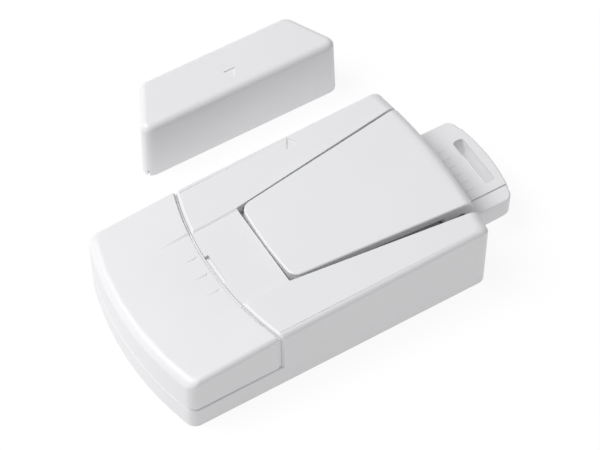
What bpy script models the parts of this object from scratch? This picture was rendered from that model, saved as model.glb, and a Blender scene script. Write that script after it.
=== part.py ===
"""Battery door contact alarm in two units: a sensor body with a sliding battery cover, a sprung
belt clip and a pull tab, and the magnet unit that goes on the door beside it.

The origin is the middle of the sensor's back face, which rests on z = 0. +X points to the pull
tab, +Y to the magnet unit and +Z away from the wall."""

from math import atan2, cos, pi, radians, sin, sqrt, tan

import bmesh
import bpy
from mathutils import Matrix, Vector

MM = 0.001
GAP = 0.4 * MM  # between pieces that move past each other
FIT = 0.3 * MM  # between pieces that rest against each other
FAR = 90.0 * MM  # how far a cutter reaches past the body

# Sensor body
LENGTH = 95.2 * MM  # over both bowed ends
WIDTH = 54.0 * MM
TAB_END_BOW = 2.3 * MM
COVER_END_BOW = 4.3 * MM
CORNER_R = 1.4 * MM
MID_HEIGHT = 21.6 * MM  # of the sloping top, at mid length
TOP_SLOPE = 0.0295  # rise towards the tab
SIDE_ROUND = 1.4 * MM
TAB_END_ROUND = 3.2 * MM
COVER_END_ROUND = 2.4 * MM
WALL = 1.8 * MM
TOP_WALL = 2.0 * MM
END_STEPS = 10
CORNER_STEPS = 3
ROUND_STEPS = 3

# Cells, and the battery bay and cover that take them
CELL_R = 5.25 * MM
CELL_LENGTH = 44.5 * MM  # over the nub
NUB_R = 1.9 * MM
NUB_HEIGHT = 1.0 * MM
COVER_WALL = 1.5 * MM
TRAY_WALL = 1.6 * MM
TRAY_FLOOR = 1.8 * MM
PARTING_Z = 7.5 * MM  # lower edge of the cover
CELL_LIFT = 2.55 * MM  # cells above the tray floor
CELL_END_SPACE = 4.75 * MM  # end wall to first cell, at mid width
CELL_BAY_SPACE = 0.95 * MM  # second cell to the divider
DIVIDER = 1.6 * MM
BAY_STEP = 0.06 * MM  # the bay's end stands this far behind the seam's face
LIP = 2.7 * MM  # housing top past the divider
SEAM_BOW = 4.2 * MM
SEAM_GAP = 0.8 * MM
SEAM_STEPS = 12
COVER_SLOPE = 0.075  # fall towards the end
COVER_LEVEL = 1.8 * MM  # where the cover is flush, from the seam
CRADLE_Y = 14.0 * MM
CRADLE_WIDTH = 1.5 * MM
CRADLE_TOP = 6.5 * MM

# Tongues and hooks that hold the cover
TONGUE_THICK = 1.3 * MM
TONGUE_REACH = 5.7 * MM  # past the cover's edge
TONGUE_ROOT = 3.0 * MM
TONGUE_HALF = 4.0 * MM
SIDE_TONGUE_Y = 16.0 * MM
SIDE_TONGUE_HALF = 2.5 * MM
NOTCH_HALF = 4.75 * MM
NOTCH_DEEP = 1.2 * MM
HOOK_LONG = 2.2 * MM
HOOK_HIGH = 1.2 * MM
HOOK_WIDE = 1.3 * MM
HOOK_Z = 14.2 * MM  # clears the contacts as the cover slides

# Finger strip between the seam and the clip
STRIP_LONG = 15.05 * MM
STRIP_HALF = 13.1 * MM
STRIP_DEEP = 0.45 * MM
STRIP_FADE = 12.7 * MM  # length over which it runs out on the cover

# Belt clip and the pocket that it lies in
POCKET_HALF = 13.35 * MM  # at the free end
POCKET_FLARE = 0.1315
POCKET_DEEP = 4.0 * MM  # below the top at mid length
POCKET_WALL = 1.6 * MM
CLIP_HALF = 13.05 * MM  # at the free end
CLIP_FLARE = 0.095
CLIP_CORNER = 2.8 * MM
CLIP_BOW = 0.4 * MM
CLIP_THICK = 2.4 * MM
CLIP_PROUD = 0.4 * MM  # above the housing at the free end
CLIP_SLOPE = 0.0445
CLIP_LIP = 1.6 * MM
CLIP_END_ROUND = 3.4 * MM
CLIP_END_IN = 0.5 * MM  # clip's end from the body's end
BARREL_R = 4.8 * MM
PIVOT_DOWN = 3.6 * MM  # pivot below the housing top there
TROUGH_OPEN = 0.92  # share of the trough's depth that is open at the body's end
PIN_R = 0.9 * MM
PIN_HOLD = 0.75 * MM  # pin into each pocket wall
COIL_R = 1.7 * MM
COIL_WIRE = 0.3 * MM
COIL_TURNS = 4
COIL_HALF = 4.5 * MM  # half width of the slot for the coil
COIL_LEG = 6.4 * MM
COIL_LEG_RISE = 1.0 * MM

# Pull tab and its channel
TAB_HALF = 15.2 * MM
TAB_THICK = 7.0 * MM
TAB_OUT = 15.4 * MM  # past the body's end
TAB_IN = 18.0 * MM  # inside the body
TAB_BOW = 2.2 * MM
TAB_CORNER = 3.0 * MM
CHANNEL_ROOF = 1.4 * MM  # between the channel and the clip's trough
CHANNEL_WALL = 1.6 * MM
SHOULDER = 4.5 * MM
SHOULDER_DROP = 0.5 * MM
SLOT_LONG = 16.2 * MM
SLOT_WIDE = 3.4 * MM
SLOT_BAR = 2.8 * MM  # material outside the slot
TONGUE_LONG = 12.5 * MM  # insulating tongue between the switch blades
TONGUE_WIDE = 6.0 * MM
TONGUE_FLAT = 1.2 * MM
TONGUE_UP = 2.9 * MM  # middle of the tongue above the tab's underside

# Back plate and its screws
PLATE_THICK = 2.0 * MM
PLATE_EDGE = 0.9 * MM  # housing wall left round the recess
PAD_THICK = 0.6 * MM
PAD_LONG = 14.0 * MM
PAD_WIDE = 36.0 * MM
BOSS_R = 3.0 * MM
BOSS_EDGE = 4.4 * MM  # boss centre from the body's side
BOSS_CLEAR = 0.5 * MM
SCREW_R = 1.2 * MM
SCREW_HEAD_R = 2.2 * MM
SCREW_HEAD = 0.9 * MM
SCREW_LONG = 8.0 * MM

# Circuit board
BOARD_Z = 3.4 * MM
BOARD_THICK = 1.6 * MM
BOARD_END = 5.0 * MM  # board ends this far short of the tab
BOARD_SET = 7.5 * MM  # from the divider
BOARD_SIDE = 3.5 * MM  # from the body's side
BOARD_BOSS_R = 2.5 * MM
BOARD_BOSS_IN = 3.5 * MM
BOARD_SCREW_R = 1.0 * MM
BOARD_SCREW_HEAD_R = 1.9 * MM
BOARD_SCREW_HEAD = 0.7 * MM
BOARD_SCREW_LONG = 5.0 * MM

# Switch blades, reed switch and sounder
BLADE_LONG = 8.7 * MM
BLADE_WIDE = 4.0 * MM
BLADE_THICK = 0.4 * MM
BLADE_OVERLAP = 5.0 * MM  # of the blades and the tongue
BASE_LONG = 4.0 * MM
BASE_WIDE = 9.0 * MM
REED_R = 1.2 * MM
REED_LONG = 14.0 * MM
REED_LEAD_R = 0.3 * MM
REED_SPAN = 20.0 * MM
REED_LIFT = 2.4 * MM
CUP_R = 11.5 * MM
CUP_WALL = 1.2 * MM
CUP_HIGH = 5.6 * MM
DISC_THICK = 0.4 * MM
CERAMIC_R = 7.5 * MM
PORT_COUNT = 5
PORT_PITCH = 3.5 * MM
PORT_WIDE = 1.6 * MM
PORT_HIGH = 8.0 * MM
PORT_LOW = 8.0 * MM
WIRE_R = 0.5 * MM

# Battery contacts
CONTACT_THICK = 0.4 * MM
CONTACT_WIDE = 7.0 * MM
CONTACT_LOW = 5.4 * MM
CONTACT_HIGH = 13.6 * MM
CONE_R = 3.2 * MM
CONE_TIP_R = 1.8 * MM
CONE_TURNS = 3.5
CONE_WIRE = 0.3 * MM

# Magnet unit
MAGNET_GAP = 21.2 * MM  # from the sensor's side
MAGNET_X = 15.8 * MM
MAGNET_FRONT = 64.0 * MM
MAGNET_REAR = 47.0 * MM
MAGNET_DEEP = 17.0 * MM
MAGNET_HIGH = 19.5 * MM
MAGNET_DRAFT = 0.6 * MM
MAGNET_ROUND = 2.0 * MM
MAGNET_CORNER = 1.8 * MM
MAGNET_WALL = 1.6 * MM
LID_THICK = 1.5 * MM
LID_EDGE = 0.8 * MM
BAR_LONG = 30.0 * MM
BAR_DEEP = 6.0 * MM
BAR_HIGH = 8.0 * MM
BAR_LOW = 5.0 * MM
RIB = 1.5 * MM

# Places that follow from the sizes above
CELL_PITCH = 2 * CELL_R + GAP
CELL_1_X = -LENGTH / 2 + COVER_WALL + CELL_END_SPACE + CELL_R
CELL_2_X = CELL_1_X + CELL_PITCH
CELL_Z = TRAY_FLOOR + CELL_LIFT + CELL_R
BAY_X = CELL_2_X + CELL_R + CELL_BAY_SPACE
SEAM_X = BAY_X - LIP
POCKET_X = SEAM_X + STRIP_LONG
PIVOT_X = LENGTH / 2 - CLIP_END_IN - BARREL_R
POCKET_Z = MID_HEIGHT - POCKET_DEEP
TROUGH_R = BARREL_R + FIT + 0.05 * MM
BOARD_TOP = BOARD_Z + BOARD_THICK
BOARD_X = BAY_X + DIVIDER + BOARD_SET
BOARD_LONG = LENGTH / 2 - TAB_IN - BOARD_END - BOARD_X
BOARD_HALF = WIDTH / 2 - BOARD_SIDE
MAGNET_Y = WIDTH / 2 + MAGNET_GAP

WHITE = ("white_abs", (0.82, 0.82, 0.83), 0.42, 0.0)
FOAM = ("foam_tape", (0.62, 0.62, 0.6), 0.95, 0.0)
STEEL = ("spring_steel", (0.62, 0.63, 0.65), 0.28, 1.0)
NICKEL = ("nickel_plate", (0.72, 0.7, 0.66), 0.25, 1.0)
BRASS = ("sounder_brass", (0.75, 0.55, 0.25), 0.3, 1.0)
FERRITE = ("bar_magnet", (0.1, 0.1, 0.11), 0.6, 0.0)
BOARD = ("board_green", (0.03, 0.22, 0.08), 0.5, 0.0)
BLACK = ("component_black", (0.03, 0.03, 0.035), 0.45, 0.0)
CERAMIC = ("sounder_ceramic", (0.8, 0.79, 0.72), 0.6, 0.0)
RESISTOR = ("resistor_tan", (0.6, 0.45, 0.28), 0.5, 0.0)
COPPER = ("copper_winding", (0.65, 0.3, 0.12), 0.35, 1.0)
GLASS = ("reed_glass", (0.35, 0.5, 0.4), 0.1, 0.0)
CELL = ("cell_jacket", (0.12, 0.3, 0.42), 0.35, 0.0)
RED = ("wire_red", (0.6, 0.03, 0.03), 0.5, 0.0)
DARK = ("wire_black", (0.02, 0.02, 0.02), 0.5, 0.0)


def clear_scene():
    for item in list(bpy.data.objects):
        bpy.data.objects.remove(item)


def finish_material(finish):
    """The Principled material of a finish, made once."""
    name, colour, roughness, metallic = finish
    made = bpy.data.materials.get(name)
    if made is None:
        made = bpy.data.materials.new(name)
        made.use_nodes = True
        shader = made.node_tree.nodes["Principled BSDF"]
        shader.inputs["Base Color"].default_value = (*colour, 1.0)
        shader.inputs["Roughness"].default_value = roughness
        shader.inputs["Metallic"].default_value = metallic
    return made


def add_object(name, bm, finish=None, origin=(0, 0, 0)):
    """An object from bm with its origin moved to origin; without a finish it is a cutter."""
    bmesh.ops.recalc_face_normals(bm, faces=bm.faces)
    mesh = bpy.data.meshes.new(name)
    bm.to_mesh(mesh)
    bm.free()
    mesh.transform(Matrix.Translation(-Vector(origin)))
    mesh.shade_smooth()
    mesh.set_sharp_from_angle(angle=radians(30))
    item = bpy.data.objects.new(name, mesh)
    item.location = origin
    bpy.context.collection.objects.link(item)
    if finish is None:
        item.hide_render = True
        item.display_type = "WIRE"
    else:
        mesh.materials.append(finish_material(finish))
    return item


def combine(target, operation, tools):
    for tool in tools:
        modifier = target.modifiers.new(tool.name, "BOOLEAN")
        modifier.operation = operation
        modifier.solver = "EXACT"
        modifier.object = tool
        tool.hide_render = True
        tool.display_type = "WIRE"
    return target


def cut(target, *tools):
    return combine(target, "DIFFERENCE", tools)


def weld(target, *tools):
    return combine(target, "UNION", tools)


def loft(name, rings, finish=None, origin=(0, 0, 0)):
    """A closed skin through rings of points, flat at its first and last ring."""
    bm = bmesh.new()
    loops = []
    for ring in rings:
        corners = [bm.verts.new(point) for point in ring]
        pairs = zip(corners, corners[1:] + corners[:1])
        loops.append([bm.edges.new(pair) for pair in pairs])
    for low, high in zip(loops, loops[1:]):
        bmesh.ops.bridge_loops(bm, edges=low + high)
    for loop in (loops[0], loops[-1]):
        bmesh.ops.contextual_create(bm, geom=loop)
    return add_object(name, bm, finish, origin)


def height_at(height, x):
    return height(x) if callable(height) else height


def prism(name, outline, low, high, finish=None, origin=(0, 0, 0)):
    """A solid over a plan outline; low and high are heights or functions of x."""
    rings = [[(x, y, height_at(level, x)) for x, y in outline] for level in (low, high)]
    return loft(name, rings, finish, origin)


def side_prism(name, profile, start, end, finish=None, origin=(0, 0, 0)):
    """A solid with its profile in X and Z, running along Y from start to end."""
    rings = [[(x, y, z) for x, z in profile] for y in (start, end)]
    return loft(name, rings, finish, origin)


def block(name, x, y, z, finish=None, origin=(0, 0, 0)):
    """A box between the two values of each of x, y and z."""
    outline = [(x[0], y[0]), (x[1], y[0]), (x[1], y[1]), (x[0], y[1])]
    return prism(name, outline, z[0], z[1], finish, origin)


def turned(name, profile, centre, finish=None, axis="Z", steps=24, origin=(0, 0, 0)):
    """A solid turned from (radius, height) points that start and end on its axis."""
    bm = bmesh.new()
    points = [bm.verts.new((radius, 0, height)) for radius, height in profile]
    edges = [bm.edges.new(pair) for pair in zip(points, points[1:])]
    bmesh.ops.spin(bm, geom=points + edges, cent=(0, 0, 0), axis=(0, 0, 1),
                   angle=2 * pi, steps=steps, use_merge=True)
    bmesh.ops.remove_doubles(bm, verts=bm.verts, dist=0.001 * MM)
    if axis == "Y":
        bmesh.ops.transform(bm, matrix=Matrix.Rotation(-pi / 2, 4, "X"), verts=bm.verts)
    elif axis == "X":
        bmesh.ops.transform(bm, matrix=Matrix.Rotation(pi / 2, 4, "Y"), verts=bm.verts)
    bmesh.ops.translate(bm, vec=centre, verts=bm.verts)
    return add_object(name, bm, finish, origin)


def rod(name, centre, radius, length, finish=None, axis="Z", steps=24, origin=(0, 0, 0)):
    """A plain cylinder, centred, along an axis."""
    half = length / 2
    profile = [(0, -half), (radius, -half), (radius, half), (0, half)]
    return turned(name, profile, centre, finish, axis, steps, origin)


def tube(name, path, radius, finish, sides=6, origin=(0, 0, 0)):
    """A round wire along path, closed at both ends."""
    path = [Vector(point) for point in path]
    rings = []
    across = None
    for index, point in enumerate(path):
        ahead = path[min(index + 1, len(path) - 1)] - path[max(index - 1, 0)]
        ahead.normalize()
        if across is None:
            across = ahead.orthogonal().normalized()
        across = (across - ahead * across.dot(ahead)).normalized()
        other = ahead.cross(across)
        turns = [2 * pi * k / sides for k in range(sides)]
        rings.append([point + (across * cos(t) + other * sin(t)) * radius for t in turns])
    return loft(name, rings, finish, origin)


def smooth_path(points, steps=3):
    """A Catmull-Rom curve through points."""
    points = [Vector(point) for point in points]
    ends = [2 * points[0] - points[1]] + points + [2 * points[-1] - points[-2]]
    path = []
    for before, start, end, after in zip(ends, ends[1:], ends[2:], ends[3:]):
        for step in range(steps):
            t = step / steps
            bend = (2 * before - 5 * start + 4 * end - after) * t * t
            bend += (3 * start - before - 3 * end + after) * t * t * t
            path.append(start + ((end - before) * t + bend) / 2)
    return path + [points[-1]]


def arc(x, y, radius, start, end, steps):
    """Points on an arc about (x, y), both ends included."""
    turns = [start + (end - start) * k / steps for k in range(steps + 1)]
    return [(x + radius * cos(turn), y + radius * sin(turn)) for turn in turns]


def rounded(corners, radius, steps=CORNER_STEPS):
    """A convex counter-clockwise outline with its corners rounded."""
    outline = []
    around = zip(corners[-1:] + corners[:-1], corners, corners[1:] + corners[:1])
    for before, corner, after in around:
        corner = Vector(corner)
        into = (corner - Vector(before)).normalized()
        out = (Vector(after) - corner).normalized()
        turn = atan2(into.x * out.y - into.y * out.x, into.dot(out))
        start = corner - into * radius * tan(turn / 2)
        centre = start + Vector((-into.y, into.x)) * radius
        first = atan2(start.y - centre.y, start.x - centre.x)
        outline += arc(centre.x, centre.y, radius, first, first + turn, steps)
    return outline


def shrunk(corners, distance):
    """A convex counter-clockwise outline moved inwards by distance."""
    outline = []
    around = zip(corners[-1:] + corners[:-1], corners, corners[1:] + corners[:1])
    for before, corner, after in around:
        into = (Vector(corner) - Vector(before)).normalized()
        out = (Vector(after) - Vector(corner)).normalized()
        first = Vector((-into.y, into.x))
        second = Vector((-out.y, out.x))
        outline.append(Vector(corner) + (first + second) * distance / (1 + first.dot(second)))
    return outline


def rectangle(x, y, half_x, half_y):
    return [(x - half_x, y - half_y), (x + half_x, y - half_y),
            (x + half_x, y + half_y), (x - half_x, y + half_y)]


def bow_radius(half_width, bow):
    return (half_width ** 2 + bow ** 2) / (2 * bow)


TAB_END_R = bow_radius(WIDTH / 2, TAB_END_BOW)
COVER_END_R = bow_radius(WIDTH / 2, COVER_END_BOW)
SEAM_R = bow_radius(WIDTH / 2, SEAM_BOW)


def top_z(x):
    """The housing's top plane."""
    return MID_HEIGHT + TOP_SLOPE * x


def cover_z(x):
    """The cover's top plane, which falls away from the seam."""
    level = SEAM_X + COVER_LEVEL
    return top_z(level) + COVER_SLOPE * (x - level)


def clip_z(x):
    """The clip's top plane."""
    return top_z(POCKET_X) + CLIP_PROUD + CLIP_SLOPE * (x - POCKET_X)


PIVOT_Z = top_z(PIVOT_X) - PIVOT_DOWN
PIVOT = (PIVOT_X, 0, PIVOT_Z)
TAB_TOP = PIVOT_Z - TROUGH_R - CHANNEL_ROOF - GAP
TAB_LOW = TAB_TOP - TAB_THICK
TONGUE_Z = TAB_LOW + TONGUE_UP


def end_x(y, inset=0.0):
    """x of the bowed tab end at y."""
    return LENGTH / 2 - TAB_END_R + sqrt((TAB_END_R - inset) ** 2 - y * y)


def seam_x(y, offset=0.0):
    """x of the seam at y, moved towards the tab by offset."""
    return SEAM_X + SEAM_R - sqrt((SEAM_R - offset) ** 2 - y * y)


def bay_edge_x(y, offset=0.0):
    """x of the divider's bay face at y: straight in the middle, along the seam outside it."""
    return max(BAY_X, seam_x(y, SEAM_GAP / 2 + BAY_STEP)) + offset


def pocket_half(x):
    return POCKET_HALF + POCKET_FLARE * (x - POCKET_X)


def bowed_end(bow, side_inset, end_inset, corner):
    """A bowed +X end of the body's outline, from its -Y side round to its +Y side."""
    half = WIDTH / 2 - side_inset
    radius = bow - end_inset
    centre = LENGTH / 2 - bow
    x = centre + sqrt((radius - corner) ** 2 - (half - corner) ** 2)
    turn = atan2(half - corner, x - centre)
    lower = arc(x, corner - half, corner, -pi / 2, -turn, CORNER_STEPS)[:-1]
    middle = arc(centre, 0, radius, -turn, turn, END_STEPS)
    upper = arc(x, half - corner, corner, turn, pi / 2, CORNER_STEPS)[1:]
    return lower + middle + upper


def tab_end(side_inset, end_inset, corner):
    return bowed_end(TAB_END_R, side_inset, end_inset, corner)


def cover_end(side_inset, end_inset, corner):
    """The cover end of the body's outline, from its +Y side round to its -Y side."""
    return [(-x, -y) for x, y in bowed_end(COVER_END_R, side_inset, end_inset, corner)]


def envelope(name, top, finish):
    """The body's outer form under a top plane, with its rim rounded."""
    ramp = [k / CORNER_STEPS for k in range(CORNER_STEPS)]
    weights = ramp + [1] * (END_STEPS + 1) + ramp[::-1]
    rounds = [SIDE_ROUND + (TAB_END_ROUND - SIDE_ROUND) * weight for weight in weights]
    rounds += [SIDE_ROUND + (COVER_END_ROUND - SIDE_ROUND) * weight for weight in weights]
    foot = tab_end(0, 0, CORNER_R) + cover_end(0, 0, CORNER_R)
    rings = [[(x, y, 0) for x, y in foot]]
    for step in range(ROUND_STEPS + 1):
        turn = pi / 2 * step / ROUND_STEPS
        shrink = 1 - cos(turn)
        outline = tab_end(SIDE_ROUND * shrink, TAB_END_ROUND * shrink, CORNER_R)
        outline += cover_end(SIDE_ROUND * shrink, COVER_END_ROUND * shrink, CORNER_R)
        drop = 1 - sin(turn)
        rings.append([(x, y, top(x) - rim * drop) for (x, y), rim in zip(outline, rounds)])
    return loft(name, rings, finish)


def seam_line(offset):
    """Points up the seam, from below the body's -Y side to above its +Y side."""
    reach = WIDTH / 2 + 3 * MM
    ys = [reach * (2 * k / SEAM_STEPS - 1) for k in range(SEAM_STEPS + 1)]
    return [(seam_x(y, offset), y) for y in ys]


def divider_line(half, offset):
    """Points up the divider between the bay and the works."""
    ys = [half * (2 * k / SEAM_STEPS - 1) for k in range(SEAM_STEPS + 1)]
    return [(bay_edge_x(y, offset), y) for y in ys]


def works_outline(side_inset, end_inset, corner, offset):
    """Plan outline of the space on the tab side of the divider."""
    half = WIDTH / 2 - side_inset
    return tab_end(side_inset, end_inset, corner) + divider_line(half, offset)[::-1]


def pocket_outline(grow, start, end):
    """The flared outline of the clip's pocket between two values of x."""
    near = pocket_half(start) + grow
    far = pocket_half(end) + grow
    return [(start, -near), (end, -far), (end, far), (start, near)]


def plate_boss_places():
    y = WIDTH / 2 - BOSS_EDGE
    near = bay_edge_x(y, DIVIDER) + BOSS_R + BOSS_CLEAR
    far = LENGTH / 2 - TAB_END_BOW - BOSS_R - BOSS_CLEAR
    return [(x, side * y) for x in (near, far) for side in (-1, 1)]


def board_boss_places():
    near = BOARD_X + BOARD_BOSS_IN
    far = BOARD_X + BOARD_LONG - BOARD_BOSS_IN
    y = BOARD_HALF - BOARD_BOSS_IN
    return [(near, y), (far, -y)]


def works_cavity():
    """The hollow of the housing, less the walls and bosses that stand in it."""
    outline = works_outline(WALL, WALL, CORNER_R - WALL / 2, DIVIDER)
    cavity = prism("cut_works", outline, -MM, lambda x: top_z(x) - TOP_WALL)
    pocket = pocket_outline(POCKET_WALL, POCKET_X - POCKET_WALL, FAR)
    kept = [prism("keep_pocket", pocket, POCKET_Z - POCKET_WALL, FAR)]
    cheek = 2 * (pocket_half(PIVOT_X) + POCKET_WALL)
    kept.append(rod("keep_trough", PIVOT, TROUGH_R + POCKET_WALL, cheek, axis="Y"))
    side = TAB_HALF + GAP + CHANNEL_WALL
    inner = LENGTH / 2 - TAB_IN - 2 * MM
    channel_z = (TAB_LOW - GAP - CHANNEL_WALL, PIVOT_Z - TROUGH_R)
    kept.append(block("keep_channel", (inner, FAR), (-side, side), channel_z))
    top = top_z(LENGTH / 2)
    for index, (x, y) in enumerate(plate_boss_places()):
        low = PLATE_THICK / 2
        centre = (x, y, (low + top) / 2)
        kept.append(rod(f"keep_plate_boss_{index}", centre, BOSS_R, top - low, steps=16))
    for index, (x, y) in enumerate(board_boss_places()):
        low = BOARD_TOP + FIT
        centre = (x, y, (low + top) / 2)
        kept.append(rod(f"keep_board_boss_{index}", centre, BOARD_BOSS_R, top - low, steps=16))
    return cut(cavity, *kept)


def battery_bay():
    """The hollow of the tray, less the cradles that the cells lie in."""
    half = WIDTH / 2 - TRAY_WALL
    outline = divider_line(half, 0) + cover_end(TRAY_WALL, TRAY_WALL, CORNER_R - WALL / 2)
    bay = prism("cut_bay", outline, TRAY_FLOOR, lambda x: top_z(x) - TOP_WALL)
    cells = [rod(f"keep_cell_{x:.3f}", (x, 0, CELL_Z), CELL_R + FIT, WIDTH, axis="Y")
             for x in (CELL_1_X, CELL_2_X)]
    for side in (-1, 1):
        ends = sorted((side * CRADLE_Y, side * (CRADLE_Y + CRADLE_WIDTH)))
        cradle = block(f"keep_cradle_{side}", (-FAR, FAR), ends, (0, CRADLE_TOP))
        cut(bay, cut(cradle, *cells))
    return bay


def cover_space():
    """All that the cover takes from the body, less the two fingers over its hooks."""
    corners = [(-FAR, FAR), (-FAR, -FAR)]
    space = prism("cut_cover", seam_line(SEAM_GAP / 2) + corners, PARTING_Z, FAR)
    outer = WIDTH / 2 - COVER_WALL - GAP
    fingers = []
    for side in (-1, 1):
        y = sorted((side * outer, side * (outer - HOOK_WIDE)))
        start = bay_edge_x(outer) - HOOK_LONG - GAP
        low = HOOK_Z + HOOK_HIGH + FIT
        fingers.append(block(f"keep_finger_{side}", (start, FAR), y, (low, low + HOOK_HIGH)))
    return cut(space, *fingers)


def tongue_places():
    return [(0, TONGUE_HALF), (-SIDE_TONGUE_Y, SIDE_TONGUE_HALF),
            (SIDE_TONGUE_Y, SIDE_TONGUE_HALF)]


def tongue_top():
    return top_z(SEAM_X) - TOP_WALL - GAP


def housing():
    """The deep main shell, which runs on under the cover as a low tray."""
    body = envelope("housing", top_z, WHITE)
    cut(body, cover_space(), works_cavity(), battery_bay())
    cut(body, prism("cut_pocket", pocket_outline(0, POCKET_X, FAR), POCKET_Z, FAR))
    half = pocket_half(PIVOT_X)
    cut(body, rod("cut_trough", PIVOT, TROUGH_R, 2 * half, axis="Y"))
    cut(body, block("cut_trough_mouth", (PIVOT_X, FAR), (-half, half),
                    (PIVOT_Z - TROUGH_OPEN * TROUGH_R, FAR)))
    bore = 2 * (pocket_half(PIVOT_X) + PIN_HOLD + FIT)
    cut(body, rod("cut_pin", PIVOT, PIN_R + FIT, bore, axis="Y", steps=16))
    side = TAB_HALF + GAP
    inner = LENGTH / 2 - TAB_IN - 3 * MM
    cut(body, block("cut_channel", (inner, FAR), (-side, side), (TAB_LOW - GAP, TAB_TOP + GAP)))
    strip = [(SEAM_X - MM, -STRIP_HALF), (POCKET_X + MM, -STRIP_HALF),
             (POCKET_X + MM, STRIP_HALF), (SEAM_X - MM, STRIP_HALF)]
    cut(body, prism("cut_strip", strip, lambda x: top_z(x) - STRIP_DEEP, FAR))
    notch_x = seam_x(0, SEAM_GAP / 2) + NOTCH_DEEP
    window_low = tongue_top() - TONGUE_THICK - GAP
    cut(body, block("cut_notch", (SEAM_X - MM, notch_x), (-NOTCH_HALF, NOTCH_HALF),
                    (window_low, FAR)))
    for index, (y, half) in enumerate(tongue_places()):
        window = (window_low, tongue_top() + 2 * GAP)
        across = (y - half - GAP, y + half + GAP)
        cut(body, block(f"cut_window_{index}", (BAY_X - MM, BAY_X + DIVIDER + MM), across, window))
    for index in range(PORT_COUNT):
        x = sounder_place()[0] + (index - (PORT_COUNT - 1) / 2) * PORT_PITCH
        cut(body, block(f"cut_port_{index}", (x - PORT_WIDE / 2, x + PORT_WIDE / 2),
                        (WIDTH / 2 - 2 * WALL, WIDTH), (PORT_LOW, PORT_LOW + PORT_HIGH)))
    recess = works_outline(PLATE_EDGE, PLATE_EDGE, CORNER_R - PLATE_EDGE, DIVIDER / 2)
    cut(body, prism("cut_recess", recess, -MM, PLATE_THICK + FIT))
    for index, (x, y) in enumerate(plate_boss_places()):
        deep = SCREW_LONG + MM
        cut(body, rod(f"cut_plate_boss_{index}", (x, y, PLATE_THICK + deep / 2), SCREW_R + FIT,
                      deep, steps=16))
    for index, (x, y) in enumerate(board_boss_places()):
        deep = BOARD_SCREW_LONG + MM
        cut(body, rod(f"cut_board_boss_{index}", (x, y, BOARD_Z + deep / 2), BOARD_SCREW_R + FIT,
                      deep, steps=16))
    low = TRAY_FLOOR + GAP
    x = (BAY_X - MM, BAY_X + DIVIDER + MM)
    y = (-CRADLE_Y - CRADLE_WIDTH - 4 * MM, -CRADLE_Y - CRADLE_WIDTH)
    cut(body, block("cut_wire_window", x, y, (low, low + 4 * WIRE_R)))
    return body


def battery_cover():
    """The sliding cap over the cells, with tongues and hooks that hold it."""
    cap = envelope("battery_cover", cover_z, WHITE)
    corners = [(FAR, -FAR), (FAR, FAR)]
    cut(cap, prism("cut_tab_side", seam_line(-SEAM_GAP / 2)[::-1] + corners, -MM, FAR))
    cut(cap, block("cut_tray_side", (-FAR, FAR), (-FAR, FAR), (-2 * MM, PARTING_Z + FIT)))
    half = WIDTH / 2 - COVER_WALL
    outline = [(0, -half), (0, half)] + cover_end(COVER_WALL, COVER_WALL, CORNER_R - MM)
    cut(cap, prism("cut_cap_hollow", outline, 0, lambda x: cover_z(x) - COVER_WALL))
    start = seam_x(0, -SEAM_GAP / 2)
    fade = start - STRIP_FADE

    def strip_floor(x):
        share = (x - fade) / STRIP_FADE
        return cover_z(x) - STRIP_DEEP * share

    strip = [(fade, -STRIP_HALF), (0, -STRIP_HALF), (0, STRIP_HALF), (fade, STRIP_HALF)]
    cut(cap, prism("cut_cap_strip", strip, strip_floor, FAR))
    top = tongue_top()
    for index, (y, wide) in enumerate(tongue_places()):
        root = start - TONGUE_ROOT
        neck = start - FIT
        tip = start + TONGUE_REACH
        roof = cover_z(root) - COVER_WALL / 2
        profile = [(root, top - TONGUE_THICK), (tip, top - TONGUE_THICK), (tip, top),
                   (neck, top), (neck, roof), (root, roof)]
        weld(cap, side_prism(f"add_tongue_{index}", profile, y - wide, y + wide))
    outer = WIDTH / 2 - COVER_WALL
    for side in (-1, 1):
        y = sorted((side * (outer + COVER_WALL / 2), side * (outer - HOOK_WIDE)))
        x = bay_edge_x(outer) - HOOK_LONG
        z = (HOOK_Z, HOOK_Z + HOOK_HIGH)
        weld(cap, block(f"add_hook_{side}", (x - GAP, x + HOOK_LONG - 2 * GAP), y, z))
    return cap


def back_plate():
    """The screwed plate in the housing's underside, with recesses for the foam pads."""
    inset = PLATE_EDGE + FIT
    outline = works_outline(inset, inset, CORNER_R - PLATE_EDGE, DIVIDER / 2 + FIT)
    plate = prism("back_plate", outline, 0, PLATE_THICK, WHITE)
    for index, (x, y) in enumerate(plate_boss_places()):
        hole = rod(f"cut_plate_hole_{index}", (x, y, 0), SCREW_R + FIT, 3 * PLATE_THICK, steps=16)
        deep = SCREW_HEAD + 2 * FIT
        sink = rod(f"cut_plate_sink_{index}", (x, y, 0), SCREW_HEAD_R + FIT, 2 * deep, steps=16)
        cut(plate, hole, sink)
    for index, x in enumerate(pad_places()):
        recess = rectangle(x, 0, PAD_LONG / 2 + FIT, PAD_WIDE / 2 + FIT)
        cut(plate, prism(f"cut_pad_{index}", recess, -MM, PAD_THICK + FIT))
    return plate


def pad_places():
    """x of the two foam pads, one near each end of the back plate."""
    near = BAY_X + DIVIDER + BOSS_R
    far = LENGTH / 2 - TAB_END_BOW - BOSS_R
    return [near + PAD_LONG / 2 - BOSS_R / 2, far - PAD_LONG / 2 + BOSS_R / 2]


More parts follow.
